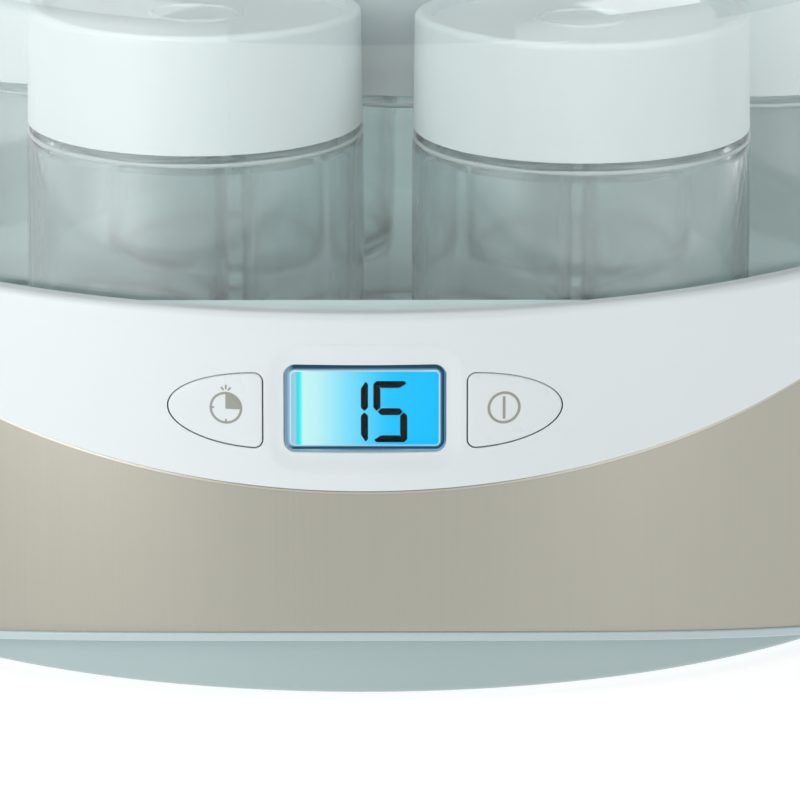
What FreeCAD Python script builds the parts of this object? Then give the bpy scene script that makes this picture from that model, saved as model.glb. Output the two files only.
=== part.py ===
import FreeCAD, Part
import math
import os
from types import SimpleNamespace

import Sketcher

# Round yogurt maker: seven lidded jars in a warmed tub, under a clear cover.
# Millimetres, +Z up, the control panel faces -Y, origin on the table under the middle of the body.

DIMENSIONS = [
    ("body_radius", 135.0, "outside of the top ring, the control panel and the lip"),
    ("shell_wall", 3.2, "wall of the housing"),
    ("ring_top", 83.1, "top of the ring"),
    ("ring_bottom", 75.0, "lower edge of the ring, where the metal band starts"),
    ("ring_width", 4.2, "flat top of the ring outside the cover"),
    ("ring_round", 1.5, "rounding of the ring's outer edge"),
    ("ledge_width", 3.0, "ledge inside the ring that carries the tub"),
    ("shell_bottom", 4.0, "level lower edge of the housing at the sides and back"),
    ("arch_height", 13.9, "lower edge of the lip at the front"),
    ("arch_radius", 454.0, "arch of the lip, seen from the front"),
    ("lip_height", 1.8, "lip under the metal band"),
    ("panel_low", 45.6, "lowest point of the control panel"),
    ("panel_slope", 0.4185, "rise of the panel's lower edge per length towards the back"),
    ("pillar_width", 44.0, "bare strip at the back between the ends of the band"),
    ("band_recess", 1.2, "depth of the recess for the band"),
    ("band_thick", 0.6, "sheet metal of the band"),
    ("trim_gap", 0.05, "gap round the band"),
    ("foot_gap", 1.0, "height of the base tray above the table"),
    ("base_radius", 129.2, "lower rim of the base tray"),
    ("base_top_radius", 131.2, "upper edge of the base tray's wall"),
    ("base_top", 20.0, "height of the base tray's wall"),
    ("base_thick", 2.4, "floor and wall of the base tray"),
    ("foot_radius", 8.0, "rubber foot"),
    ("foot_circle", 108.0, "distance of the feet from the middle"),
    ("foot_inset", 1.2, "depth of the foot's seat in the base tray"),
    ("column_circle", 122.0, "distance of the screw columns from the middle"),
    ("column_radius", 4.5, "screw column of the housing"),
    ("column_top", 40.0, "top of the screw columns"),
    ("tub_radius", 124.0, "inside of the tub"),
    ("tub_wall", 2.0, "wall of the tub"),
    ("tub_flat", 112.5, "flat front wall of the tub, from the middle"),
    ("tub_floor", 47.0, "floor that the jars stand on"),
    ("tub_floor_thick", 2.2, "floor of the tub"),
    ("tub_rim_drop", 2.4, "top of the tub's flange below the top of the ring"),
    ("tub_flange_thick", 2.0, "flange of the tub"),
    ("tub_flange_gap", 0.3, "gap between the flange and the ring"),
    ("plate_radius", 104.0, "aluminium heat spreader"),
    ("plate_thick", 1.2, "aluminium heat spreader"),
    ("film_radius", 98.0, "heating film"),
    ("film_thick", 0.6, "heating film"),
    ("film_hole", 14.0, "hole in the heating film"),
    ("pad_thick", 6.0, "insulation pad"),
    ("pad_hole", 22.0, "hole in the insulation pad"),
    ("cover_radius", 130.3, "outside of the cover at its rim"),
    ("cover_shoulder_radius", 129.1, "outside of the cover at its shoulder"),
    ("cover_shoulder", 137.0, "height where the cover's shoulder starts"),
    ("cover_corner", 16.0, "rounding of the cover's shoulder"),
    ("cover_crown", 1200.0, "crown radius of the cover's top"),
    ("cover_wall", 2.2, "wall of the cover"),
    ("window_width", 33.0, "display window"),
    ("window_tall", 18.3, "display window"),
    ("window_corner", 2.2, "display window"),
    ("window_bevel", 1.4, "bevel round the window's front"),
    ("window_height", 63.05, "middle of the display window"),
    ("window_front", 133.4, "front of the window, from the middle of the body"),
    ("window_thick", 2.8, "display window"),
    ("window_gap", 0.15, "gap round the window"),
    ("recess_width", 41.0, "shallow recess round the window"),
    ("recess_tall", 26.4, "shallow recess round the window"),
    ("recess_corner", 6.5, "shallow recess round the window"),
    ("recess_depth", 1.1, "shallow recess round the window"),
    ("edge_round", 0.35, "rounding of the panel's and the lip's edges"),
    ("lcd_width", 31.0, "display glass"),
    ("lcd_tall", 17.0, "display glass"),
    ("lcd_thick", 1.8, "display glass"),
    ("light_width", 30.0, "backlight block"),
    ("light_tall", 16.0, "backlight block"),
    ("board_front", 121.2, "front of the control board, from the middle of the body"),
    ("board_thick", 1.6, "both circuit boards"),
    ("board_half_width", 44.0, "control board"),
    ("board_low", 50.0, "lower edge of the control board"),
    ("board_tall", 24.0, "control board"),
    ("button_height", 62.5, "middle of the two buttons"),
    ("button_side", 21.0, "straight side of a button, from the middle"),
    ("button_long", 19.3, "length of a button"),
    ("button_half_tall", 7.85, "half height of a button"),
    ("button_corner", 1.7, "rounding of a button's two corners"),
    ("button_gap", 0.25, "gap round a button"),
    ("button_proud", 0.2, "how far a button stands out of the panel"),
    ("button_rim", 1.3, "rim behind the panel that keeps a button in"),
    ("button_skirt", 131.4, "radius where a button's rim meets its cap"),
    ("button_rim_radius", 129.6, "inside of a button's rim"),
    ("stem_place", 29.0, "stem and switch of a button, from the middle"),
    ("stem_radius", 2.2, "stem of a button"),
    ("stem_end", 124.1, "end of the stem, from the middle of the body"),
    ("switch_width", 6.0, "push switch"),
    ("switch_thick", 2.0, "push switch"),
    ("plunger_radius", 1.5, "plunger of a push switch"),
    ("plunger_long", 2.1, "plunger of a push switch"),
    ("plunger_proud", 0.8, "plunger above its switch"),
    ("gland_height", 30.0, "middle of the cord gland"),
    ("gland_radius", 6.8, "cord gland in the wall"),
    ("gland_flange", 9.0, "flange of the gland inside the wall"),
    ("gland_bore", 3.6, "hole for the cord"),
    ("gland_outer", 134.6, "outer end of the gland, from the middle of the body"),
    ("gland_long", 5.8, "length of the gland"),
    ("gland_flange_thick", 2.4, "flange of the gland"),
    ("jar_radius", 35.2, "jar body"),
    ("jar_wall", 3.0, "glass of the body"),
    ("jar_tall", 82.8, "jar to the top of its neck"),
    ("jar_shoulder", 57.4, "height where the jar's shoulder starts"),
    ("jar_foot_round", 5.0, "rounding at the jar's foot"),
    ("jar_punt", 1.2, "hollow under the jar"),
    ("jar_floor", 4.0, "inside floor of the jar"),
    ("neck_radius", 31.3, "neck of the jar"),
    ("neck_wall", 2.9, "glass of the neck"),
    ("neck_round", 1.2, "rounding of the mouth"),
    ("lid_radius", 35.0, "lower edge of the lid"),
    ("lid_top_radius", 34.7, "upper edge of the lid"),
    ("lid_bottom", 61.6, "lower edge of the lid above the jar's foot"),
    ("lid_top", 86.6, "top of the lid's rim above the jar's foot"),
    ("lid_round", 1.6, "rounding of the lid's rim"),
    ("lid_wall", 1.6, "skirt of the lid"),
    ("lid_plate", 1.6, "dish of the lid"),
    ("lid_rim_width", 3.1, "rim round the dish"),
    ("lid_ring_radius", 9.3, "raised ring in the middle of the dish"),
    ("power_board_z", 9.4, "underside of the power board"),
]

# Where each jar stands in the tub: two in front, one in the middle, one at each side, two at the back.
JAR_PLACES = [
    (-35.4, -67.0),
    (45.1, -73.7),
    (-64.0, -1.0),
    (9.6, -12.1),
    (82.0, -12.7),
    (-29.0, 62.0),
    (47.0, 60.0),
]

doc = FreeCAD.newDocument("yogurt_maker")
sheet = doc.addObject("Spreadsheet::Sheet", "Sizes")


class Size:
    """A length: its value in millimetres and the sheet expression that gives it."""

    def __init__(self, value, text):
        self.value = value
        self.text = text

    def __add__(self, other):
        other = size_of(other)
        return Size(self.value + other.value, f"({self.text} + {other.text})")

    def __sub__(self, other):
        other = size_of(other)
        return Size(self.value - other.value, f"({self.text} - {other.text})")

    def __mul__(self, other):
        other = size_of(other)
        return Size(self.value * other.value, f"({self.text} * {other.text})")

    def __truediv__(self, other):
        other = size_of(other)
        return Size(self.value / other.value, f"({self.text} / {other.text})")

    def __neg__(self):
        return size_of(0) - self

    def __radd__(self, other):
        return size_of(other) + self

    def __rsub__(self, other):
        return size_of(other) - self

    def __rmul__(self, other):
        return size_of(other) * self


def size_of(number):
    """A plain number as a Size; a Size stays as it is."""
    if isinstance(number, Size):
        return number
    return Size(float(number), f"{float(number)}")


def root(size):
    """Square root of a Size."""
    return Size(math.sqrt(size.value), f"sqrt({size.text})")


def fill_sheet():
    """Write the driving dimensions and the jar places to the sheet and hand them back by name."""
    rows = list(DIMENSIONS)
    for number, (across, along) in enumerate(JAR_PLACES, start=1):
        rows.append((f"jar_{number}_across", across, "jar from the middle, to the right"))
        rows.append((f"jar_{number}_along", along, "jar from the middle, to the back"))
    named = SimpleNamespace()
    for row, (alias, value, note) in enumerate(rows, start=1):
        sheet.set(f"A{row}", note)
        sheet.set(f"B{row}", str(value))
        sheet.setAlias(f"B{row}", alias)
        setattr(named, alias, Size(value, f"Sizes.{alias}"))
    doc.recompute()
    return named


d = fill_sheet()


# Helpers that bind every shape to the sheet

def bind(obj, property_name, size):
    obj.setExpression(property_name, size_of(size).text)


def place(obj, at, turn_axis=None, turn=0):
    """Put an object at a point, turned about an axis by an angle in degrees."""
    if turn_axis is not None:
        rotation = FreeCAD.Rotation(FreeCAD.Vector(*turn_axis), turn)
        obj.Placement = FreeCAD.Placement(FreeCAD.Vector(), rotation)
    for axis, size in zip("xyz", at):
        bind(obj, f"Placement.Base.{axis}", size)
    return obj


def box(name, size, at):
    """A block from its lowest corner."""
    block = doc.addObject("Part::Box", name)
    for side, length in zip(("Length", "Width", "Height"), size):
        bind(block, side, length)
    return place(block, at)


def rod(name, radius, length, at, along="z"):
    """A cylinder from the middle of one end, towards +Z, +X or +Y."""
    cylinder = doc.addObject("Part::Cylinder", name)
    bind(cylinder, "Radius", radius)
    bind(cylinder, "Height", length)
    turns = {"z": (None, 0), "y": ((1, 0, 0), -90), "x": ((0, 1, 0), 90)}
    turn_axis, turn = turns[along]
    return place(cylinder, at, turn_axis, turn)


def cut(name, base, *tools):
    """Take the tools away from the base one after the other."""
    for step, tool in enumerate(tools):
        last = step == len(tools) - 1
        result = doc.addObject("Part::Cut", name if last else f"{name}_cut_{step}")
        result.Base = base
        result.Tool = tool
        base = result
    return base


def fuse(name, *pieces):
    joined = doc.addObject("Part::MultiFuse", name)
    joined.Shapes = list(pieces)
    joined.Refine = True
    return joined


def common(name, first, second):
    shared = doc.addObject("Part::Common", name)
    shared.Base = first
    shared.Tool = second
    return shared


def group(name, pieces):
    """Like pieces that share one node as separate solids."""
    together = doc.addObject("Part::Compound", name)
    together.Links = pieces
    return together


def tube(name, inner, outer, low, tall):
    """An upright tube round the middle axis."""
    outside = rod(f"{name}_outside", outer, tall, (0, 0, low))
    inside = rod(f"{name}_inside", inner, tall + 2, (0, 0, low - 1))
    return cut(name, outside, inside)


def draw_outline(sketch, corners):
    """Close a loop through the corners and bind each of them to the sheet.

    A corner is (x, y), or (x, y, radius, way) where an arc leads to it from the corner before:
    way is 1 for an arc that turns left and -1 for one that turns right.
    """
    corners = [tuple(size_of(value) for value in corner[:3]) + corner[3:] for corner in corners]
    starts = []
    ends = []
    for index, corner in enumerate(corners):
        before = corners[index - 1]
        first = FreeCAD.Vector(before[0].value, before[1].value, 0)
        second = FreeCAD.Vector(corner[0].value, corner[1].value, 0)
        if len(corner) == 2:
            edge = sketch.addGeometry(Part.LineSegment(first, second))
            starts.append((edge, 1))
            ends.append((edge, 2))
            continue
        radius, way = corner[2], corner[3]
        chord = second - first
        left = FreeCAD.Vector(-chord.y, chord.x, 0).normalize()
        height = math.sqrt(max(radius.value ** 2 - (chord.Length / 2) ** 2, 0))
        middle = (first + second) * 0.5 + left * (way * height)
        turn_from, turn_to = (first, second) if way == 1 else (second, first)
        angle_from = math.atan2(turn_from.y - middle.y, turn_from.x - middle.x)
        angle_to = math.atan2(turn_to.y - middle.y, turn_to.x - middle.x)
        circle = Part.Circle(middle, FreeCAD.Vector(0, 0, 1), radius.value)
        edge = sketch.addGeometry(Part.ArcOfCircle(circle, angle_from, angle_to))
        starts.append((edge, 1 if way == 1 else 2))
        ends.append((edge, 2 if way == 1 else 1))
    origin, horizontal_axis, vertical_axis = (-1, 1), -1, -2
    for index, corner in enumerate(corners):
        following = starts[(index + 1) % len(corners)]
        sketch.addConstraint(Sketcher.Constraint("Coincident", *ends[index], *following))
        for value, distance, axis in (
            (corner[0], "DistanceX", vertical_axis),
            (corner[1], "DistanceY", horizontal_axis),
        ):
            if value.value == 0:
                sketch.addConstraint(Sketcher.Constraint("PointOnObject", *ends[index], axis))
                continue
            rule = Sketcher.Constraint(distance, *origin, *ends[index], value.value)
            number = sketch.addConstraint(rule)
            bind(sketch, f"Constraints[{number}]", value)
        if len(corner) > 2:
            edge = ends[index][0]
            number = sketch.addConstraint(Sketcher.Constraint("Radius", edge, corner[2].value))
            bind(sketch, f"Constraints[{number}]", corner[2])


def new_sketch(body, name, plane_role, corners, offset=0):
    """A sketch with one closed outline on a plane of the body's origin."""
    plane = [part for part in body.Origin.OriginFeatures if part.Role == plane_role][0]
    sketch = body.newObject("Sketcher::SketchObject", name)
    sketch.AttachmentSupport = [(plane, "")]
    sketch.MapMode = "FlatFace"
    bind(sketch, "AttachmentOffset.Base.z", offset)
    draw_outline(sketch, corners)
    return sketch


def turned(name, outline):
    """A body turned about the Z axis from an outline of (radius, height) corners."""
    body = doc.addObject("PartDesign::Body", name)
    sketch = new_sketch(body, f"{name}_outline", "XZ_Plane", outline)
    turning = body.newObject("PartDesign::Revolution", f"{name}_turned")
    turning.Profile = sketch
    turning.ReferenceAxis = (sketch, ["V_Axis"])
    turning.Angle = 360
    return body


def padded(name, plane_role, outline, offset, length):
    """A body padded from an outline, starting at an offset along the plane's normal."""
    body = doc.addObject("PartDesign::Body", name)
    sketch = new_sketch(body, f"{name}_outline", plane_role, outline, offset)
    pad = body.newObject("PartDesign::Pad", f"{name}_pad")
    pad.Profile = sketch
    bind(pad, "Length", length)
    return body


def add_lugs(body, inner, outer, half_width, low, tall):
    """Four lugs at equal turns round a body's axis."""
    corners = [(inner, -half_width), (outer, -half_width), (outer, half_width), (inner, half_width)]
    sketch = new_sketch(body, f"{body.Name}_lug_outline", "XY_Plane", corners, low)
    doc.recompute()
    lug = body.newObject("PartDesign::Pad", f"{body.Name}_lug")
    lug.Profile = sketch
    bind(lug, "Length", tall)
    doc.recompute()
    lugs = body.newObject("PartDesign::PolarPattern", f"{body.Name}_lugs")
    lugs.Originals = [lug]
    axis = [part for part in body.Origin.OriginFeatures if part.Role == "Z_Axis"][0]
    lugs.Axis = (axis, [""])
    lugs.Angle = 360
    lugs.Occurrences = 4
    body.Tip = lugs


def rounded_plate(name, width, tall, corner, height, back, thick):
    """A plate with rounded corners facing the front, from its back face towards -Y."""
    half = width / 2
    low = height - tall / 2
    top = height + tall / 2
    outline = [
        (half - corner, low),
        (half, low + corner, corner, 1),
        (half, top - corner),
        (half - corner, top, corner, 1),
        (corner - half, top),
        (-half, top - corner, corner, 1),
        (-half, low + corner),
        (corner - half, low, corner, 1),
    ]
    return padded(name, "XZ_Plane", outline, back, thick)


def round_edges(name, base, radius, chosen):
    """Round the edges of a base that a test picks out."""
    doc.recompute()
    numbers = [index for index, edge in enumerate(base.Shape.Edges, start=1) if chosen(edge)]
    rounded = doc.addObject("Part::Fillet", name)
    rounded.Base = base
    rounded.Edges = [(number, radius.value, radius.value) for number in numbers]
    return rounded


# Base tray with its feet and screws

SCREW_TURNS = (30, 150, 210, 330)
FOOT_TURNS = (45, 135, 225, 315)


def on_circle(radius, turn):
    """A point on a circle round the middle axis, at a turn in degrees from +X."""
    angle = math.radians(turn)
    return radius * round(math.cos(angle), 6), radius * round(math.sin(angle), 6)


base_bottom = d.foot_gap
base_floor = d.foot_gap + d.base_thick
foot_top = d.foot_gap + d.foot_inset
BASE_ROUND = 1.2
FOOT_ROUND = 0.8
SEAT_GAP = 0.15
THREAD_GAP = 0.05
SCREW_GAP = 0.4
SCREW_HEAD_RADIUS = 3.4
SCREW_HEAD = 1.2
SCREW_HEAD_TOP = 2.4
SCREW_SHANK_RADIUS = 1.5
SCREW_TOP = 18.0
SCREW_EDGE = 0.4
SCREW_POINT = 1.0
BOARD_SCREW_RADIUS = 1.0
BOARD_SCREW_LONG = 5.0
BOARD_SCREW_HEAD_RADIUS = 2.2
BOARD_SCREW_HEAD = 1.4
BOARD_HOLE_GAP = 0.2
PILLAR_RADIUS = 3.0

# A cutter starts this far outside what it cuts, and a long one goes right through any wall.
CLEAR = 1.0
THROUGH = 30.0

# Two lengths this close count as the same.
NEAR = 0.01

POWER_BOARD = (90.0, 64.0)
POWER_BOARD_CORNER = (-50.0, 20.0)
POWER_SCREW_INSET = 4.0
POWER_SCREWS = [
    (POWER_BOARD_CORNER[0] + across, POWER_BOARD_CORNER[1] + along)
    for across in (POWER_SCREW_INSET, POWER_BOARD[0] - POWER_SCREW_INSET)
    for along in (POWER_SCREW_INSET, POWER_BOARD[1] - POWER_SCREW_INSET)
]


def make_base_tray():
    wall_inside = d.base_top_radius - d.base_thick
    tray = turned("base_tray_dish", [
        (0, base_bottom),
        (d.base_radius - BASE_ROUND, base_bottom),
        (d.base_radius, base_bottom + BASE_ROUND, BASE_ROUND, 1),
        (d.base_top_radius, d.base_top),
        (wall_inside, d.base_top),
        (d.base_radius - d.base_thick, base_floor),
        (0, base_floor),
    ])
    pillars = [tray]
    holes = []
    for number, (across, along) in enumerate(POWER_SCREWS):
        root_spot = (across, along, base_floor - CLEAR)
        tall = d.power_board_z - base_floor + CLEAR
        pillars.append(rod(f"board_pillar_{number}", PILLAR_RADIUS, tall, root_spot))
        hole_spot = (across, along, base_floor + CLEAR)
        hole_radius = BOARD_SCREW_RADIUS + THREAD_GAP
        holes.append(rod(f"board_pillar_hole_{number}", hole_radius, tall, hole_spot))
    for number, turn in enumerate(FOOT_TURNS):
        across, along = on_circle(d.foot_circle, turn)
        spot = (across, along, base_bottom - CLEAR)
        holes.append(rod(f"foot_seat_{number}", d.foot_radius + SEAT_GAP, d.foot_inset + CLEAR, spot))
    for number, turn in enumerate(SCREW_TURNS):
        across, along = on_circle(d.column_circle, turn)
        spot = (across, along, base_bottom - CLEAR)
        seat_deep = SCREW_HEAD_TOP - base_bottom + CLEAR
        holes.append(rod(f"screw_seat_{number}", SCREW_HEAD_RADIUS + SCREW_GAP, seat_deep, spot))
        hole_deep = d.base_thick + 2 * CLEAR
        holes.append(rod(f"screw_hole_{number}", SCREW_SHANK_RADIUS + SCREW_GAP, hole_deep, spot))
    return cut("base_tray", fuse("base_tray_body", *pillars), *holes)


def make_rubber_feet():
    feet = []
    for number, turn in enumerate(FOOT_TURNS):
        across, along = on_circle(d.foot_circle, turn)
        foot = turned(f"foot_{number}", [
            (0, 0),
            (d.foot_radius - FOOT_ROUND, 0),
            (d.foot_radius, FOOT_ROUND, FOOT_ROUND, 1),
            (d.foot_radius, foot_top),
            (0, foot_top),
        ])
        feet.append(place(foot, (across, along, 0)))
    return group("rubber_feet", feet)


def screw(name, head_radius, head, shank_radius, shank, at, up=True):
    """A screw with its head's underside at a point, the shank towards +Z or, turned over, -Z."""
    piece = turned(name, [
        (0, -head),
        (head_radius - SCREW_EDGE, -head),
        (head_radius, SCREW_EDGE - head, SCREW_EDGE, 1),
        (head_radius, 0),
        (shank_radius, 0),
        (shank_radius, shank - SCREW_POINT),
        (0, shank),
    ])
    if up:
        return place(piece, at)
    return place(piece, at, (1, 0, 0), 180)


def board_screw(name, at, up=True):
    return screw(
        name, BOARD_SCREW_HEAD_RADIUS, BOARD_SCREW_HEAD, BOARD_SCREW_RADIUS, BOARD_SCREW_LONG, at, up)


def make_base_screws():
    screws = []
    for number, turn in enumerate(SCREW_TURNS):
        across, along = on_circle(d.column_circle, turn)
        spot = (across, along, SCREW_HEAD_TOP)
        shank = SCREW_TOP - SCREW_HEAD_TOP
        name = f"base_screw_{number}"
        screws.append(screw(name, SCREW_HEAD_RADIUS, SCREW_HEAD, SCREW_SHANK_RADIUS, shank, spot))
    return group("base_screws", screws)


# Housing with the ring, the control panel and the recess for the metal band

shell_inside = d.body_radius - d.shell_wall
tub_rim = d.ring_top - d.tub_rim_drop
ledge = tub_rim - d.tub_flange_thick
ring_inside = d.body_radius - d.ring_width
LEDGE_THICK = 2.2
LEDGE_SLOPE = 4.0
RIB_THICK = 3.0
RIB_IN_WALL = 2.0
COLUMN_HOLE_GAP = 0.1
BOSS_RADIUS = 2.6
BOSS_ROOT = 127.0
BOSS_HOLE_END = 125.5
PANEL_CUT_FROM = 115.0
BOARD_SCREWS = [(across, height) for across in (-40.5, 40.5) for height in (52.5, 71.5)]

# Larger than the body, for cutters that reach past all of it
FAR = 160.0


def band_zone(name, inner, outer, gap):
    """The strip round the body between the lip, the ring, the panel and the pillar at the back."""
    low = d.shell_bottom + d.lip_height + gap
    strip = tube(f"{name}_strip", inner, outer, low, d.ring_bottom - gap - low)
    panel = box(f"{name}_panel", (2 * FAR, 2 * FAR, FAR), (0, 0, 0))
    place(panel, (-FAR, -d.body_radius, d.panel_low - gap), (1, 0, 0), 0.001)
    panel.setExpression("Placement.Rotation.Angle", f"atan({d.panel_slope.text})")
    lip_radius = d.arch_radius + d.lip_height + gap
    lip = rod(f"{name}_lip", lip_radius, FAR, (0, -FAR, d.arch_height - d.arch_radius), "y")
    width = d.pillar_width + 2 * gap
    pillar = box(f"{name}_pillar", (width, FAR, FAR), (-width / 2, 0, 0))
    return cut(name, strip, panel, lip, pillar)


def half_ellipse(name, side, grow):
    """A button's outline, larger all round by grow, right through the panel; side is 1 or -1."""
    ellipse = doc.addObject("Part::Ellipse", f"{name}_ellipse")
    bind(ellipse, "MajorRadius", d.button_long + grow)
    bind(ellipse, "MinorRadius", d.button_half_tall + grow)
    column = doc.addObject("Part::Extrusion", f"{name}_column")
    column.Base = ellipse
    column.DirMode = "Normal"
    column.Solid = True
    bind(column, "LengthFwd", THROUGH)
    place(column, (side * d.button_side, -PANEL_CUT_FROM, d.button_height), (1, 0, 0), 90)
    straight = d.button_side - grow
    reach = 2 * d.button_long
    left = straight if side == 1 else -straight - reach
    half = box(f"{name}_half", (reach, FAR, FAR), (left, -FAR, 0))
    blank = common(f"{name}_blank", column, half)
    corner = d.button_corner + grow

    def at_corner(edge):
        middle = edge.CenterOfMass
        lengthwise = abs(edge.BoundBox.YLength - THROUGH) < NEAR
        return lengthwise and abs(abs(middle.x) - straight.value) < NEAR

    return round_edges(name, blank, corner, at_corner)


def on_outer_skin(edge):
    """True for the edges of the panel, the lip and the ring on the outside of the body."""
    reach = [math.hypot(point.x, point.y) for point in edge.discretize(5)]
    outside = min(reach) > d.body_radius.value - NEAR
    low = max(point.z for point in edge.discretize(5)) < d.ring_bottom.value + NEAR
    return outside and low


def make_housing():
    shell = turned("housing_shell", [
        (shell_inside, d.shell_bottom),
        (d.body_radius, d.shell_bottom),
        (d.body_radius, d.ring_top - d.ring_round),
        (d.body_radius - d.ring_round, d.ring_top, d.ring_round, 1),
        (ring_inside, d.ring_top),
        (ring_inside, ledge),
        (ring_inside - d.ledge_width, ledge),
        (ring_inside - d.ledge_width, ledge - LEDGE_THICK),
        (shell_inside, ledge - LEDGE_THICK - LEDGE_SLOPE),
    ])
    pieces = [shell]
    holes = []
    for number, turn in enumerate(SCREW_TURNS):
        across, along = on_circle(d.column_circle, turn)
        tall = d.column_top - base_floor
        pieces.append(rod(f"column_{number}", d.column_radius, tall, (across, along, base_floor)))
        rib_low = d.base_top + CLEAR
        reach = d.body_radius - RIB_IN_WALL - d.column_circle
        rib = box(f"column_rib_{number}", (reach, RIB_THICK, d.column_top - rib_low), (0, 0, 0))
        side_across, side_along = on_circle(size_of(-RIB_THICK / 2), turn + 90)
        pieces.append(place(rib, (across + side_across, along + side_along, rib_low), (0, 0, 1), turn))
        hole_radius = SCREW_SHANK_RADIUS + COLUMN_HOLE_GAP
        holes.append(rod(f"column_hole_{number}", hole_radius, SCREW_TOP, (across, along, CLEAR)))
    for number, (across, height) in enumerate(BOARD_SCREWS):
        spot = (across, -BOSS_ROOT, height)
        pieces.append(rod(f"board_boss_{number}", BOSS_RADIUS, BOSS_ROOT - d.board_front, spot, "y"))
        deep = (across, -BOSS_HOLE_END, height)
        hole_radius = BOARD_SCREW_RADIUS + THREAD_GAP
        holes.append(rod(f"board_boss_hole_{number}", hole_radius, THROUGH, deep, "y"))
    recess = band_zone("band_recess_zone", d.body_radius - d.band_recess, FAR, size_of(0))
    arch = rod("arch", d.arch_radius, FAR, (0, -FAR, d.arch_height - d.arch_radius), "y")
    window = rounded_plate(
        "window_opening", d.window_width + 2 * d.window_gap, d.window_tall + 2 * d.window_gap,
        d.window_corner + d.window_gap, d.window_height, d.board_front, THROUGH)
    dish_outline = rounded_plate(
        "window_recess_outline", d.recess_width, d.recess_tall, d.recess_corner, d.window_height,
        d.board_front, THROUGH)
    dish_floor = d.body_radius - d.recess_depth
    dish_skin = tube("window_recess_skin", dish_floor, FAR, d.panel_low, d.ring_top - d.panel_low)
    dish = common("window_recess", dish_outline, dish_skin)
    left_hole = half_ellipse("time_opening", -1, d.button_gap)
    right_hole = half_ellipse("power_opening", 1, d.button_gap)
    gland_seat = d.gland_radius + SEAT_GAP
    gland_hole = rod("gland_hole", gland_seat, THROUGH, (0, d.board_front, d.gland_height), "y")
    whole = fuse("housing_body", *pieces)
    trimmed = cut("housing_trimmed", whole, recess, arch)
    rounded = round_edges("housing_rounded", trimmed, d.edge_round, on_outer_skin)
    return cut("housing", rounded, window, dish, left_hole, right_hole, gland_hole, *holes)


def make_trim_band():
    inner = d.body_radius - d.band_recess + d.trim_gap
    return band_zone("trim_band", inner, inner + d.band_thick, d.trim_gap)


# Tub and the heater under it

def flat_front_drum(name, radius, flat, low, tall):
    """An upright drum with a flat cut off its front."""
    drum = rod(f"{name}_drum", radius, tall, (0, 0, low))
    front = box(f"{name}_front", (2 * FAR, FAR, FAR), (-FAR, -flat - FAR, low - CLEAR))
    return cut(name, drum, front)


def make_jar_tub():
    outside_low = d.tub_floor - d.tub_floor_thick
    outside = flat_front_drum(
        "tub_outside", d.tub_radius + d.tub_wall, d.tub_flat + d.tub_wall, outside_low, tub_rim - outside_low)
    flange = rod("tub_flange", ring_inside - d.tub_flange_gap, d.tub_flange_thick, (0, 0, ledge))
    inside = flat_front_drum("tub_inside", d.tub_radius, d.tub_flat, d.tub_floor, d.ring_top)
    return cut("jar_tub", fuse("tub_body", outside, flange), inside)


plate_bottom = d.tub_floor - d.tub_floor_thick - d.plate_thick
film_bottom = plate_bottom - d.film_thick
pad_bottom = film_bottom - d.pad_thick
THERMISTOR_RADIUS = 3.0
THERMISTOR_TALL = 5.0
FUSE_RADIUS = 2.0
FUSE_LONG = 12.0
SENSOR_ACROSS = -6.0
FUSE_ALONG = 8.0
FUSE_GAP = 0.1


def make_heater():
    plate = rod("heater_plate", d.plate_radius, d.plate_thick, (0, 0, plate_bottom))
    film = tube("heating_film", d.film_hole, d.film_radius, film_bottom, d.film_thick)
    pad = tube("heater_insulation", d.pad_hole, d.plate_radius, pad_bottom, d.pad_thick)
    sensor_spot = (SENSOR_ACROSS, 0, plate_bottom - THERMISTOR_TALL)
    thermistor = rod("thermistor", THERMISTOR_RADIUS, THERMISTOR_TALL, sensor_spot)
    fuse_spot = (SENSOR_ACROSS, FUSE_ALONG, plate_bottom - FUSE_RADIUS - FUSE_GAP)
    fuse_body = rod("thermal_fuse", FUSE_RADIUS, FUSE_LONG, fuse_spot, "x")
    return [plate, film, pad, thermistor, fuse_body]


# Display, buttons and the control board behind the panel

LCD_GAP = 0.1
BUZZER_RADIUS = 4.5
BUZZER_THICK = 4.0
BUZZER_ACROSS = 14.0
BUZZER_HEIGHT = 66.0
STEM_ROOT = 128.0
PLUNGER_GAP = 0.15


def make_display():
    window = rounded_plate(
        "display_window", d.window_width, d.window_tall, d.window_corner, d.window_height,
        d.window_front - d.window_thick, d.window_thick)
    doc.recompute()
    faces = window.Shape.Faces
    front = min(range(len(faces)), key=lambda index: faces[index].CenterOfMass.y)
    bevel = window.newObject("PartDesign::Chamfer", "window_bevel")
    bevel.Base = (window.getObject("display_window_pad"), [f"Face{front + 1}"])
    bind(bevel, "Size", d.window_bevel)
    lcd_front = d.window_front - d.window_thick - LCD_GAP
    lcd = box(
        "lcd_panel", (d.lcd_width, d.lcd_thick, d.lcd_tall),
        (-d.lcd_width / 2, -lcd_front, d.window_height - d.lcd_tall / 2))
    light = box(
        "lcd_backlight", (d.light_width, lcd_front - d.lcd_thick - d.board_front, d.light_tall),
        (-d.light_width / 2, d.lcd_thick - lcd_front, d.window_height - d.light_tall / 2))
    return [window, lcd, light]


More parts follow.
